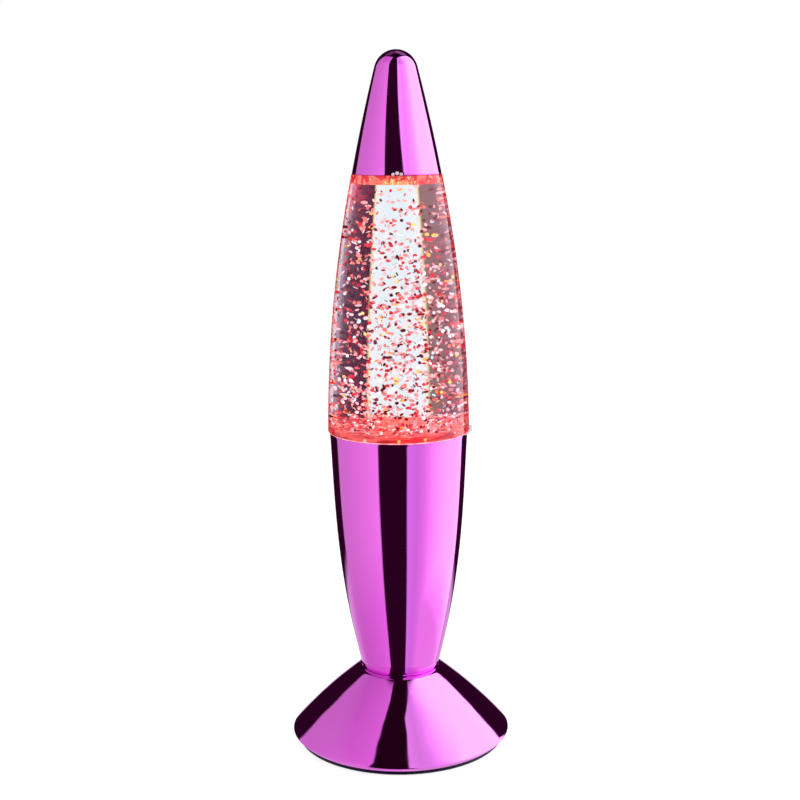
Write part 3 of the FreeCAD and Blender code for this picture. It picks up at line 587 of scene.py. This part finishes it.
def bottle(finish, wetted, seam):
    """Clear shell with rebates for lid and floor, wetted inside and hazed at its lower edge."""
    side = side_of_bottle(0, BOTTLE_BOTTOM + BOTTLE_EDGE_HEIGHT, BOTTLE_TOP, BOTTLE_STEPS)
    bore = side_of_bottle(BOTTLE_WALL, FLOOR_TOP, LID_BOTTOM, BORE_STEPS)
    floor_seat, lid_seat = bore[0][0] + REBATE, bore[-1][0] + REBATE
    foot_of_seat = (floor_seat, BOTTLE_BOTTOM)
    corner = (bottle_radius(BOTTLE_BOTTOM), BOTTLE_BOTTOM)
    edge = rounded(foot_of_seat, corner, side[0], BOTTLE_EDGE_ROUND, 6)
    outer = [foot_of_seat] + edge + side + [(lid_seat, BOTTLE_TOP), (lid_seat, LID_BOTTOM)]
    outline = outer + bore[::-1] + [(floor_seat, FLOOR_TOP)]
    wetted_steps = range(len(outer), len(outer) + len(bore) - 1)
    turned("bottle_shell", outline, finish, ["bottle"], sides=BOTTLE_SIDES,
           linings=((wetted, wetted_steps), (seam, range(len(edge) - 1))))


def liquid(finish):
    """The liquid wets the wall, the floor and the lid."""
    low, high = FLOOR_TOP - LIQUID_OVERLAP, LID_BOTTOM + LIQUID_OVERLAP
    side = side_of_bottle(BOTTLE_WALL - LIQUID_OVERLAP, low, high, BORE_STEPS)
    outline = [(0.0, low)] + side + [(0.0, high)]
    turned("liquid_body", outline, finish, ["liquid_fill"], sides=BOTTLE_SIDES)


def floor_plate(finish):
    """Floor in the bottle's rebate, with its skirt in the stem."""
    seat = bottle_radius(FLOOR_TOP) - BOTTLE_WALL + REBATE + PLATE_OVERLAP
    skirt_bottom = BOTTLE_BOTTOM - SKIRT_LENGTH
    skirt = stem_radius(skirt_bottom) - STEM_WALL - SKIRT_GAP
    outline = [(0.0, FLOOR_TOP), (seat, FLOOR_TOP), (seat, BOTTLE_BOTTOM), (skirt, BOTTLE_BOTTOM),
               (skirt, skirt_bottom), (skirt - SKIRT_WALL, skirt_bottom),
               (skirt - SKIRT_WALL, BOTTLE_BOTTOM), (0.0, BOTTLE_BOTTOM)]
    turned("floor_plate", outline, finish, ["bottle_floor"])


def lid_plate(finish):
    """Lid in the bottle's upper rebate."""
    seat = bottle_radius(LID_BOTTOM) - BOTTLE_WALL + REBATE + PLATE_OVERLAP
    outline = [(0.0, LID_BOTTOM), (seat, LID_BOTTOM), (seat, BOTTLE_TOP), (0.0, BOTTLE_TOP)]
    turned("lid_plate", outline, finish, ["bottle_lid"])


def stem(finish):
    """Plated tulip shape, open at the top, with a floor round the opening for the leads."""
    heights = [BOTTLE_BOTTOM - (BOTTLE_BOTTOM - STEM_BOTTOM) * step / STEM_STEPS
               for step in range(STEM_STEPS + 1)]
    skin = [(stem_radius(height), height) for height in heights]
    sparse = skin[::-(STEM_STEPS // STEM_CORE_STEPS)]
    core = [(radius - STEM_WALL, height) for radius, height in sparse]
    lip = rounded(core[-1], skin[0], skin[1], STEM_LIP_ROUND, 4)
    neck, floor_top = STEM_RADII[-1], WEB_TOP + STEM_FLOOR
    floor = [(neck, WEB_TOP), (LEAD_OPENING_RADIUS, WEB_TOP),
             (LEAD_OPENING_RADIUS, floor_top), (neck - STEM_WALL, floor_top)]
    turned("stem_shell", lip + skin[1:] + floor + core, finish, ["stem"])


def foot(finish):
    """Plated cone, round at its collar, with a web on which the stem stands."""
    collar = (FOOT_BORE + FOOT_LAND, STEM_BOTTOM)
    run, drop = FOOT_CORNER[0] - collar[0], collar[1] - FOOT_CORNER[1]
    slope = math.atan2(drop, run)
    belly = ((collar[0] + FOOT_CORNER[0]) / 2 + FOOT_BULGE * math.sin(slope),
             (collar[1] + FOOT_CORNER[1]) / 2 + FOOT_BULGE * math.cos(slope))
    cone = along_arc(collar, belly, FOOT_CORNER, FOOT_STEPS)[FOOT_TRIM:-FOOT_TRIM]
    land = rounded((FOOT_BORE, STEM_BOTTOM), collar, cone[0], FOOT_LAND_ROUND, 10)
    corner = rounded(cone[-1], FOOT_CORNER, FOOT_LIP, FOOT_CORNER_ROUND, 6)
    low, high = FOOT_CORNER[1], WEB_TOP - WEB_THICKNESS
    core = FOOT_CORNER[0] - FOOT_WALL / math.sin(slope)
    inside = [(FOOT_LIP[0] - FOOT_WALL, FOOT_LIP[1]), (core, low),
              (core - (high - low) / math.tan(slope), high), (LEAD_OPENING_RADIUS, high),
              (LEAD_OPENING_RADIUS, WEB_TOP), (FOOT_BORE, WEB_TOP), (FOOT_BORE, STEM_BOTTOM)]
    outline = land + cone + corner + [FOOT_LIP] + inside
    turned("foot_shell", outline, finish, ["foot"])


# Angle from the front, height, radius and size of each glue bead, in degrees and millimetres
GLUE_BEADS = ((-4.5, 282.8, 21.6, 0.75), (0.5, 283.3, 21.5, 0.9), (5.5, 282.8, 21.6, 0.75),
              (88.0, 159.3, 34.9, 1.25), (86.0, 157.9, 34.8, 1.1), (81.0, 157.8, 34.6, 0.7),
              (76.0, 157.7, 34.5, 0.55), (71.0, 157.7, 34.4, 0.5))
BEAD_LUMPS = 0.35
LUMP_SCALE = 900.0
LUMP_SHIFT = 300.0


def glue_beads(finish):
    """Glue that squeezed out over the cap's rim in front and at the bottle's lower right edge."""
    shape = bmesh.new()
    for turn, height, radius, size in GLUE_BEADS:
        angle = math.radians(turn)
        centre = Vector((radius * math.sin(angle), -radius * math.cos(angle), height)) * MM
        made = bmesh.ops.create_icosphere(shape, subdivisions=3, radius=size * MM)
        for vert in made["verts"]:
            lump = noise.noise(vert.co * LUMP_SCALE + centre * LUMP_SHIFT)
            vert.co *= 1.0 + BEAD_LUMPS * lump
            vert.co += centre
    mesh = finished_mesh("glue_beads", shape)
    mesh.materials.append(finish)
    piece("glue_beads", mesh)


# Glitter. Sizes and heights are in millimetres, tips and leans in radians. Scales, shades and
# the clearance from the wall are factors, the last one of a flake's width.

SWIMMING_COUNT = 1850
SETTLED_COUNT = 380
CLINGING_COUNT = 420
FLAKE_WIDTH = 1.6
FLAKE_THICKNESS = 0.1
FLAKE_SIDES = 6
FLAKE_SCALES = (0.8, 1.1)
FLAKE_SHADES = (0.55, 1.25)
FLAKE_TIPS = (0.5, 2.6)
FLAKE_LEANS = (-0.6, 0.6)
WALL_CLEARANCE = 0.7
SWIMMING_HEIGHTS = (FLOOR_TOP + 1.5, LID_BOTTOM - 1.0)
SETTLED_HEIGHTS = (FLOOR_TOP + 0.9, FLOOR_TOP + 1.9)

# Share of the flakes at which each sort starts, with its tint and its glow. The glow is painted
# light from below, and the tints are partly painted reflections: white ones of the lit sides,
# dark ones of the dark studio.
FLAKE_SORTS = ((0.0, (0.75, 0.05, 0.08), (0.42, 0.008, 0.02)),
               (0.20, (0.9, 0.3, 0.3), (0.62, 0.13, 0.12)),
               (0.37, (0.95, 0.6, 0.62), (0.58, 0.26, 0.28)),
               (0.56, (0.95, 0.9, 0.93), (0.70, 0.55, 0.59)),
               (0.75, (1.0, 0.7, 0.2), (0.85, 0.4, 0.08)),
               (0.79, (0.22, 0.02, 0.03), (0.02, 0.0, 0.003)),
               (0.97, (0.7, 0.85, 1.0), (0.35, 0.55, 0.8)))

TREE_INPUTS = {"Count": "NodeSocketInt", "Seed": "NodeSocketInt",
               "Flake width": "NodeSocketFloat", "Thickness": "NodeSocketFloat",
               "Low": "NodeSocketFloat", "High": "NodeSocketFloat",
               "Crowding": "NodeSocketFloat", "Tilt": "NodeSocketFloat",
               "Inner": "NodeSocketFloat"}


def flake_tree(glowing_film):
    """Flakes set in the liquid: count, seed, sizes and heights are the tree's inputs, and how
    far they crowd low down, tilt, and keep to the wall."""
    tree = bpy.data.node_groups.new("glitter", "GeometryNodeTree")
    face = tree.interface
    face.new_socket("Geometry", in_out="INPUT", socket_type="NodeSocketGeometry")
    for name, kind in TREE_INPUTS.items():
        face.new_socket(name, in_out="INPUT", socket_type=kind)
    face.new_socket("Geometry", in_out="OUTPUT", socket_type="NodeSocketGeometry")
    plan = Plan(tree)
    entry = tree.nodes.new("NodeGroupInput")
    given = {name: Socket(plan, entry.outputs[name]) for name in TREE_INPUTS}

    def chance(step, low=0.0, high=1.0):
        """A random number for each flake; each step is a draw of its own."""
        return plan.add("FunctionNodeRandomValue", {2: low, 3: high, "Seed": given["Seed"] + step},
                        out=1, data_type="FLOAT")

    share = 1.0 - chance(1) ** given["Crowding"]
    height = given["Low"] + (given["High"] - given["Low"]) * share
    rise = height - ARC_Y * MM
    wall = plan.maths("SQRT", rise * rise * -1.0 + (ARC_RADIUS * MM) ** 2) + ARC_X * MM
    reach = wall - BOTTLE_WALL * MM - given["Flake width"] * WALL_CLEARANCE
    radius = reach * plan.maths("SQRT", given["Inner"] + chance(2) * (1.0 - given["Inner"]))
    angle = chance(3, 0.0, 2 * math.pi)
    place = plan.add("ShaderNodeCombineXYZ", {0: radius * plan.maths("COSINE", angle),
                                              1: radius * plan.maths("SINE", angle), 2: height})
    points = plan.add("GeometryNodePoints", {"Count": given["Count"], "Position": place})
    flake = plan.add("GeometryNodeMeshCylinder",
                     {"Vertices": FLAKE_SIDES, "Radius": given["Flake width"] / math.sqrt(3),
                      "Depth": given["Thickness"]}, fill_type="NGON")
    tumble = plan.add("ShaderNodeCombineXYZ", {0: chance(4, *FLAKE_TIPS) * given["Tilt"],
                                               1: chance(5, *FLAKE_LEANS) * given["Tilt"],
                                               2: chance(6, 0.0, 2 * math.pi)})
    turn = plan.add("FunctionNodeEulerToRotation", {0: tumble})
    placed = plan.add("GeometryNodeInstanceOnPoints",
                      {"Points": points, "Instance": flake, "Rotation": turn,
                       "Scale": chance(7, *FLAKE_SCALES)})
    starts, tints_and_reflections, glows = zip(*FLAKE_SORTS)
    for name, colors in (("flake_tint_and_reflection", tints_and_reflections), ("flake_glow", glows)):
        color = plan.ramp(chance(8), list(zip(starts, colors)), "CONSTANT")
        shade = plan.add("ShaderNodeVectorMath", {0: color, "Scale": chance(9, *FLAKE_SHADES)},
                         operation="SCALE")
        placed = plan.add("GeometryNodeStoreNamedAttribute",
                          {"Geometry": placed, "Name": name, "Value": shade},
                          data_type="FLOAT_COLOR", domain="INSTANCE")
    real = plan.add("GeometryNodeRealizeInstances", {0: placed})
    painted = plan.add("GeometryNodeSetMaterial", {"Geometry": real, "Material": glowing_film})
    leave = tree.nodes.new("NodeGroupOutput")
    tree.links.new(painted.out, leave.inputs[0])
    return tree


def flakes(name, tree, values, replaces=()):
    """One piece of glitter, made by the tree from its values."""
    carrier = linked(name + "_carrier", bpy.data.meshes.new(name + "_carrier"))
    modifier = carrier.modifiers.new("glitter", "NODES")
    modifier.node_group = tree
    for item in tree.interface.items_tree:
        if item.in_out == "INPUT" and item.name in values:
            modifier[item.identifier] = values[item.name]
    ready = bpy.context.evaluated_depsgraph_get()
    mesh = bpy.data.meshes.new_from_object(carrier.evaluated_get(ready))
    bpy.data.objects.remove(carrier)
    mesh.name = name
    piece(name, mesh, replaces=replaces)


def glitter(glowing_film):
    """Flakes that swim in the liquid, settle on the floor and cling to the wall."""
    tree = flake_tree(glowing_film)
    swimming = {"Count": SWIMMING_COUNT, "Seed": 7, "Flake width": FLAKE_WIDTH * MM,
                "Thickness": FLAKE_THICKNESS * MM, "Low": SWIMMING_HEIGHTS[0] * MM,
                "High": SWIMMING_HEIGHTS[1] * MM, "Crowding": 0.625, "Tilt": 1.0, "Inner": 0.0}
    settled = dict(swimming, Count=SETTLED_COUNT, Seed=31, Crowding=1.0, Tilt=0.36,
                   Low=SETTLED_HEIGHTS[0] * MM, High=SETTLED_HEIGHTS[1] * MM)
    clinging = dict(swimming, Count=CLINGING_COUNT, Seed=52, Crowding=1.0, Inner=0.72)
    flakes("glitter", tree, swimming, ["glitter_flakes"])
    flakes("settled_glitter", tree, settled)
    flakes("clinging_glitter", tree, clinging)


# Finishes of the CAD pieces that stay

def part_finishes():
    """The finish of each CAD piece that stays, by the name of its node."""
    steel = textured("zinc_steel", rgb(0.62, 0.63, 0.65), 0.28, 900.0, 0.00002, metallic=1.0)
    magnet = textured("nickel", rgb(0.66, 0.64, 0.6), 0.2, 500.0, 0.00001, metallic=1.0)
    brass = textured("plated_brass", rgb(0.7, 0.66, 0.55), 0.25, 700.0, 0.00001, metallic=1.0)
    black = textured("black_plastic", rgb(0.006, 0.005, 0.014), 0.5, 1600.0, 0.00004,
                     specular_ior_level=0.3, specular_tint=rgb(0.4, 0.36, 0.8))
    rubber = textured("black_rubber", rgb(0.03, 0.03, 0.03), 0.75, 1200.0, 0.00005)
    white = textured("white_plastic", rgb(0.8, 0.8, 0.78), 0.4, 900.0, 0.00003)
    # The stirrer's red emission is painted glow for the light from below; it is no lamp
    glowing_stirrer = textured("glowing_clear_stirrer", rgb(0.95, 0.45, 0.4), 0.2, 600.0, 0.00001,
                        transmission_weight=0.7, ior=1.1, emission_color=rgb(0.75, 0.09, 0.08),
                        emission_strength=0.7)
    board = textured("board_mask", rgb(0.75, 0.8, 0.76), 0.3, 900.0, 0.00001)
    chip = textured("chip_resin", rgb(0.02, 0.02, 0.022), 0.45, 1500.0, 0.00002)
    can = textured("motor_steel", rgb(0.55, 0.55, 0.56), 0.32, 800.0, 0.00002, metallic=1.0)
    silicone = textured("silicone", rgb(0.8, 0.8, 0.76), 0.5, 700.0, 0.00003,
                        transmission_weight=0.4)
    light = Finish("lit_diode", rgb(1.0, 0.3, 0.3), 0.1, transmission_weight=0.6,
                   emission_color=rgb(1.0, 0.05, 0.05), emission_strength=2.0).material
    wrap = textured("cell_wrap", rgb(0.06, 0.16, 0.2), 0.3, 400.0, 0.00001, metallic=0.4)
    return {
        "pivot_pin": steel, "pin_retainer": steel, "stirrer": glowing_stirrer, "stirrer_magnets": magnet,
        "magnet_carrier": white, "drive_magnets": magnet, "motor_shaft": steel, "motor_can": can,
        "motor_end_cap": white, "motor_terminals": brass, "motor_deck": white,
        "deck_screws": steel, "led_board": board, "board_screws": steel, "light_bodies": light,
        "control_chip": chip, "stem_screws": steel, "base_plate": black, "base_screws": steel,
        "rubber_pads": rubber, "battery_door": black, "door_screw": steel,
        "contact_plates": brass, "contact_leaves": brass, "switch_body": black,
        "switch_lever": black, "cell_1": wrap, "cell_2": wrap, "cell_3": wrap,
        "filler_stopper": silicone}


def dress_parts():
    """Gives those pieces their finishes."""
    for name, finish in part_finishes().items():
        nodes[name].data.materials.clear()
        nodes[name].data.materials.append(finish)


# Light tent, with its radius in metres. Angles are in degrees, 0 in front and growing to the
# right, and rises are degrees above level. Levels and fades are (angle, level) or (rise, level)
# stops, and edges and ends of the lit sides are (rise, angle) stops, the top's (angle, rise).

TENT_RADIUS = 20.0
SIDE_LEVELS = ((-180, 0.7), (-126, 0.72), (-90, 0.85), (-60, 0.98), (-36, 1.12), (13, 0.95),
               (31, 0.82), (43, 0.95), (54, 1.2), (67, 1.75), (81, 2.2), (96, 2.45),
               (130, 2.3), (180, 2.3))
LEFT_FADE = ((-90, 0.8), (-45, 0.85), (-33, 0.92), (-22, 1.0), (0, 1.04), (22, 0.95), (35, 0.92),
             (50, 0.84), (90, 0.82))
RIGHT_FADE = ((-90, 1.0), (0, 1.0), (12, 1.4), (20, 1.6), (32, 1.6), (45, 1.22), (90, 1.2))
HIGHEST_LEVELS = ((-90, 1.05), (-34, 1.05), (-20, 3.0), (90, 3.0))
LEFT_EDGE = ((-90, -32), (-45, -32.5), (-26, -34.1), (-19, -35.4), (0, -33), (19, -30.7),
             (22, -34.8), (25, -37.6), (28, -40.2), (60, -41.5), (72, -42.5), (77, -46), (90, -60))
RIGHT_EDGE = ((-90, 17), (-45, 16.2), (-27, 14.3), (-20, 13.6), (0, 17), (19, 20.5), (23, 14.1),
              (26, 10.5), (29, 8), (60, 11), (70, 11.3), (74, 24), (77, 46), (90, 60))
LEFT_END = ((-90, -124), (-30, -124), (-15, -126), (7, -128.8), (11, -131), (31, -129),
            (45, -127), (90, -115))
RIGHT_END = ((-90, 134), (-17, 133), (-12, 132), (5, 137), (14, 128), (29, 131), (90, 120))
TOP_EDGE = ((0, 74), (46, 76.8), (96, 69), (123, 54), (135, 40))
WINDOW_ANGLE = 167.0
WINDOW_TOP = 9.0
WINDOW_LEVEL = 0.9
TABLE_ANGLE = 122.0
TABLE_RISE = -22.0
TABLE_LEVEL = 0.8
GLEAM_ANGLE = 120.0
GLEAM_RISES = (50.0, 70.0)

# What is seen through the bottle, by angle all round
THROUGH_WINDOW = (0.80, 0.91, 0.98)
THROUGH_COLORS = ((-180, THROUGH_WINDOW), (-167.9, THROUGH_WINDOW), (-167.3, (0.95, 0.80, 0.45)),
                  (-166.4, (0.24, 0.15, 0.12)), (-150, (0.17, 0.05, 0.07)),
                  (-125, (0.15, 0.04, 0.08)), (-112, (0.28, 0.09, 0.17)),
                  (-90, (0.62, 0.34, 0.44)), (-20, (0.8, 0.76, 0.82)), (60, (0.8, 0.76, 0.82)),
                  (100, (0.8, 0.78, 0.84)), (112, (0.95, 1.0, 1.1)), (130, (0.95, 1.0, 1.1)),
                  (134, (0.4, 0.27, 0.42)), (146, (0.06, 0.012, 0.04)),
                  (166.4, (0.045, 0.006, 0.024)), (167.3, (0.95, 0.80, 0.45)),
                  (167.9, THROUGH_WINDOW))
THROUGH_WINDOW_ANGLE = 167.9


class Ray:
    """Direction of a ray from the lamp to the tent, in degrees."""

    def __init__(self, plan):
        place = plan.add("ShaderNodeVectorMath", {0: plan.place()}, operation="NORMALIZE")
        across, along, up = place.part("X"), place.part("Y"), place.part("Z")
        self.angle = plan.maths("ARCTAN2", across, along * -1.0) * math.degrees(1)
        self.rise = plan.maths("ARCSINE", up) * math.degrees(1)
        self.away = plan.maths("ABSOLUTE", self.angle)
        self.on_right = self.angle > 0.0


def edge(value, soft=1.2):
    """0 where a value is negative and 1 where it is positive, blended over a few degrees."""
    return value.clamped(-soft, soft)


def between(value, low, high):
    """1 between two edges and 0 beyond them."""
    return edge(value - low) * edge(high - value)


def lit_sides(plan, ray):
    """Brightness of the two lit sides, and nothing between them."""
    left_fade, right_fade = plan.line(ray.rise, LEFT_FADE), plan.line(ray.rise, RIGHT_FADE)
    fade = left_fade + (right_fade - left_fade) * ray.on_right
    level = plan.maths("MINIMUM", plan.line(ray.angle, SIDE_LEVELS) * fade,
                       plan.line(ray.rise, HIGHEST_LEVELS))
    left, left_end = plan.line(ray.rise, LEFT_EDGE), plan.line(ray.rise, LEFT_END)
    right, right_end = plan.line(ray.rise, RIGHT_EDGE), plan.line(ray.rise, RIGHT_END)
    lit = plan.highest(between(ray.angle, left_end, left), between(ray.angle, right, right_end))
    return level * lit * edge(plan.line(ray.away, TOP_EDGE) - ray.rise, 2.0)


def mirrored_level(plan, ray):
    """Brightness that metal sees: lit sides, window, table and a gleam high up at the back."""
    window = edge(ray.away - WINDOW_ANGLE, 0.6) * edge(WINDOW_TOP - ray.rise, 2.0)
    table = edge(TABLE_RISE - ray.rise) * edge(ray.away - TABLE_ANGLE)
    low, high = GLEAM_RISES
    gleam = edge(ray.rise - low, 3.0) * edge(high - ray.rise, 4.0)
    gleam = gleam * edge(ray.away - GLEAM_ANGLE, 12.0)
    level = plan.highest(lit_sides(plan, ray), window * WINDOW_LEVEL)
    level = plan.highest(level, table * TABLE_LEVEL)
    return plan.highest(level, gleam * (ray.on_right * 0.2 + 0.15))


def mirrored_tint(plan, ray):
    """Cooler right of the slit, greener high on the right, and rosier high and low on the left."""
    cool = edge(ray.angle, 1.0) * edge(40.0 - ray.angle, 14.0)
    tint = plan.mixed(cool, WHITE, rgb(0.97, 0.97, 1.15))
    tint = plan.mixed(ray.rise.clamped(6.0, 16.0) * ray.on_right, tint, rgb(0.88, 1.1, 0.97))
    far = plan.highest(ray.rise.clamped(38.0, 50.0), ray.rise.clamped(-25.0, -35.0))
    return plan.mixed(far * (1.0 - ray.on_right) * 0.6, tint, rgb(1.0, 0.6, 1.0))


def seen_through(plan, ray):
    """What the bottle and the liquid show of the studio: a cool white window behind, dark
    beside it, and the lit sides further round."""
    stops = [((angle + 180) / 360, color) for angle, color in THROUGH_COLORS]
    ramp = plan.ramp(ray.angle.clamped(-180, 180), stops)
    behind = ray.away > THROUGH_WINDOW_ANGLE
    color = plan.mixed(behind * ray.rise.clamped(-9.0, -15.0), ramp, rgb(0.92, 0.87, 0.94))
    color = plan.mixed(ray.rise.clamped(-25.0, -32.0), color, rgb(0.8, 0.8, 0.8))
    return plan.mixed(ray.rise.clamped(35.0, 45.0), color, rgb(0.6, 0.6, 0.62))


def tent_finish():
    """Metal sees the lit sides and a deep purple gloom, and glass what is seen through it."""
    material, plan, show = empty_finish("light_tent")
    ray = Ray(plan)
    through = plan.add("ShaderNodeLightPath", out="Is Transmission Ray")
    mirrored = 1.0 - through
    deep = plan.mixed(ray.rise.clamped(40.0, 50.0), rgb(0.027, 0.002, 0.018),
                      rgb(0.016, 0.001, 0.008))
    lights = ((mirrored_tint(plan, ray), mirrored_level(plan, ray) * mirrored), (deep, mirrored),
              (seen_through(plan, ray), through))
    light, gloom, clear = (plan.add("ShaderNodeEmission", {"Color": color, "Strength": level})
                           for color, level in lights)
    both = plan.add("ShaderNodeAddShader", {0: light, 1: gloom})
    show(plan.add("ShaderNodeAddShader", {0: both, 1: clear}))
    return material


def tent():
    """Light tent that metal and glass see: two lit sides, a dark slit in front, dark corners
    at the back and a white window behind."""
    shape = bmesh.new()
    bmesh.ops.create_icosphere(shape, subdivisions=5, radius=TENT_RADIUS)
    dome = stage_object("light_tent", finished_mesh("light_tent", shape), tent_finish())
    dome.visible_camera = dome.visible_shadow = dome.visible_diffuse = False


# The rest of the studio, in metres, degrees and watts, and the camera's lens in millimetres

TABLE_REACH = 6.0
TABLE_GLOW = 0.62
LAMP_MIDDLE = (0.0, 0.0, 0.17)
LEFT_SOFTBOX, RIGHT_SOFTBOX = (-1.1, -0.5, 0.6), (1.1, -0.5, 0.6)
LEFT_POWER, RIGHT_POWER = 9.0, 12.0
SOFTBOX_SIZE = 1.0
EYE = (0.0, -0.72567, 0.31037)
LOOK_DOWN = 10.742
ROLL = 0.441
LENS = 67.97
SENSOR_WIDTH = 36.0
SIDE_SHIFT = 0.002


def stage_object(name, mesh, material):
    """An object of the studio, which is no part of the lamp."""
    thing = linked(name, mesh)
    mesh.materials.append(material)
    return thing


def empty_finish(name):
    """A material for the studio, with the plan of its empty tree and the way to its output."""
    material = bpy.data.materials.new(name)
    material.use_nodes = True
    tree = material.node_tree
    tree.nodes.clear()
    out = tree.nodes.new("ShaderNodeOutputMaterial")
    return material, Plan(tree), lambda shader: tree.links.new(shader.out, out.inputs["Surface"])


def softbox(name, place, power):
    """Soft lamp for the plain pieces; mirrors and glass see the tent in its place."""
    data = bpy.data.lights.new(name, "AREA")
    data.shape, data.size, data.energy = "SQUARE", SOFTBOX_SIZE, power
    lamp = linked(name, data)
    lamp.location = place
    lamp.rotation_mode = "QUATERNION"
    lamp.rotation_quaternion = (Vector(LAMP_MIDDLE) - Vector(place)).to_track_quat("-Z", "Y")
    lamp.visible_glossy = lamp.visible_transmission = lamp.visible_camera = False


def table():
    """White table that keeps the lamp's shadow; seen from below it lets the underside show."""
    low, high = -TABLE_REACH, TABLE_REACH
    mesh = bpy.data.meshes.new("table")
    mesh.from_pydata([(low, low, 0), (high, low, 0), (high, high, 0), (low, high, 0)], [],
                     [(0, 1, 2, 3)])
    material, plan, show = empty_finish("white_table")
    paint = plan.add("ShaderNodeBsdfDiffuse", {"Color": rgb(0.8, 0.8, 0.8)})
    seen = plan.add("ShaderNodeLightPath", out="Is Camera Ray")
    glow = plan.add("ShaderNodeEmission", {"Color": WHITE, "Strength": seen * TABLE_GLOW})
    both = plan.add("ShaderNodeAddShader", {0: paint, 1: glow})
    behind = plan.add("ShaderNodeNewGeometry", out="Backfacing")
    clear = plan.add("ShaderNodeBsdfTransparent")
    show(plan.add("ShaderNodeMixShader", {0: behind, 1: both, 2: clear}))
    thing = stage_object("table", mesh, material)
    thing.visible_glossy = thing.visible_transmission = False


def world():
    """White to the eye, and half as bright on the pieces. Mirrors and glass see the tent."""
    sky = bpy.data.worlds.new("studio")
    bpy.context.scene.world = sky
    sky.use_nodes = True
    tree = sky.node_tree
    back = tree.nodes["Background"]
    back.inputs["Color"].default_value = WHITE
    seen = Plan(tree).add("ShaderNodeLightPath", out="Is Camera Ray")
    strength = seen * 0.5 + 0.5
    tree.links.new(strength.out, back.inputs["Strength"])


def camera():
    """The photograph's view: level with the cap, looking slightly down."""
    view = bpy.data.cameras.new("camera")
    view.lens, view.sensor_width, view.shift_x = LENS, SENSOR_WIDTH, SIDE_SHIFT
    eye = linked("camera", view)
    eye.location = EYE
    down, roll = math.radians(LOOK_DOWN), math.radians(ROLL)
    look = Vector((0, math.cos(down), -math.sin(down)))
    eye.rotation_mode = "QUATERNION"
    eye.rotation_quaternion = Quaternion(look, roll) @ look.to_track_quat("-Z", "Y")
    bpy.context.scene.camera = eye


plated = plated_finish("plated_purple", 26.0, 0.0001)
top_cap(plated)
stem(plated)
foot(plated_finish("plated_purple_foot", 75.0, 0.00013))
bottle(clear_finish(), wetted_finish(), seam_finish())
liquid(liquid_finish())
glitter(glitter_finish())
glue_beads(glue_finish())
dress_parts()
floor_plate(lit_floor_finish())
lid_plate(lit_lid_finish())
world()
tent()
softbox("left_softbox", LEFT_SOFTBOX, LEFT_POWER)
softbox("right_softbox", RIGHT_SOFTBOX, RIGHT_POWER)
table()
camera()

scene = bpy.context.scene
scene.view_settings.view_transform = "Standard"
scene.cycles.max_bounces = 24
scene.cycles.transmission_bounces = 20
scene.cycles.glossy_bounces = 8
scene.cycles.transparent_max_bounces = 16
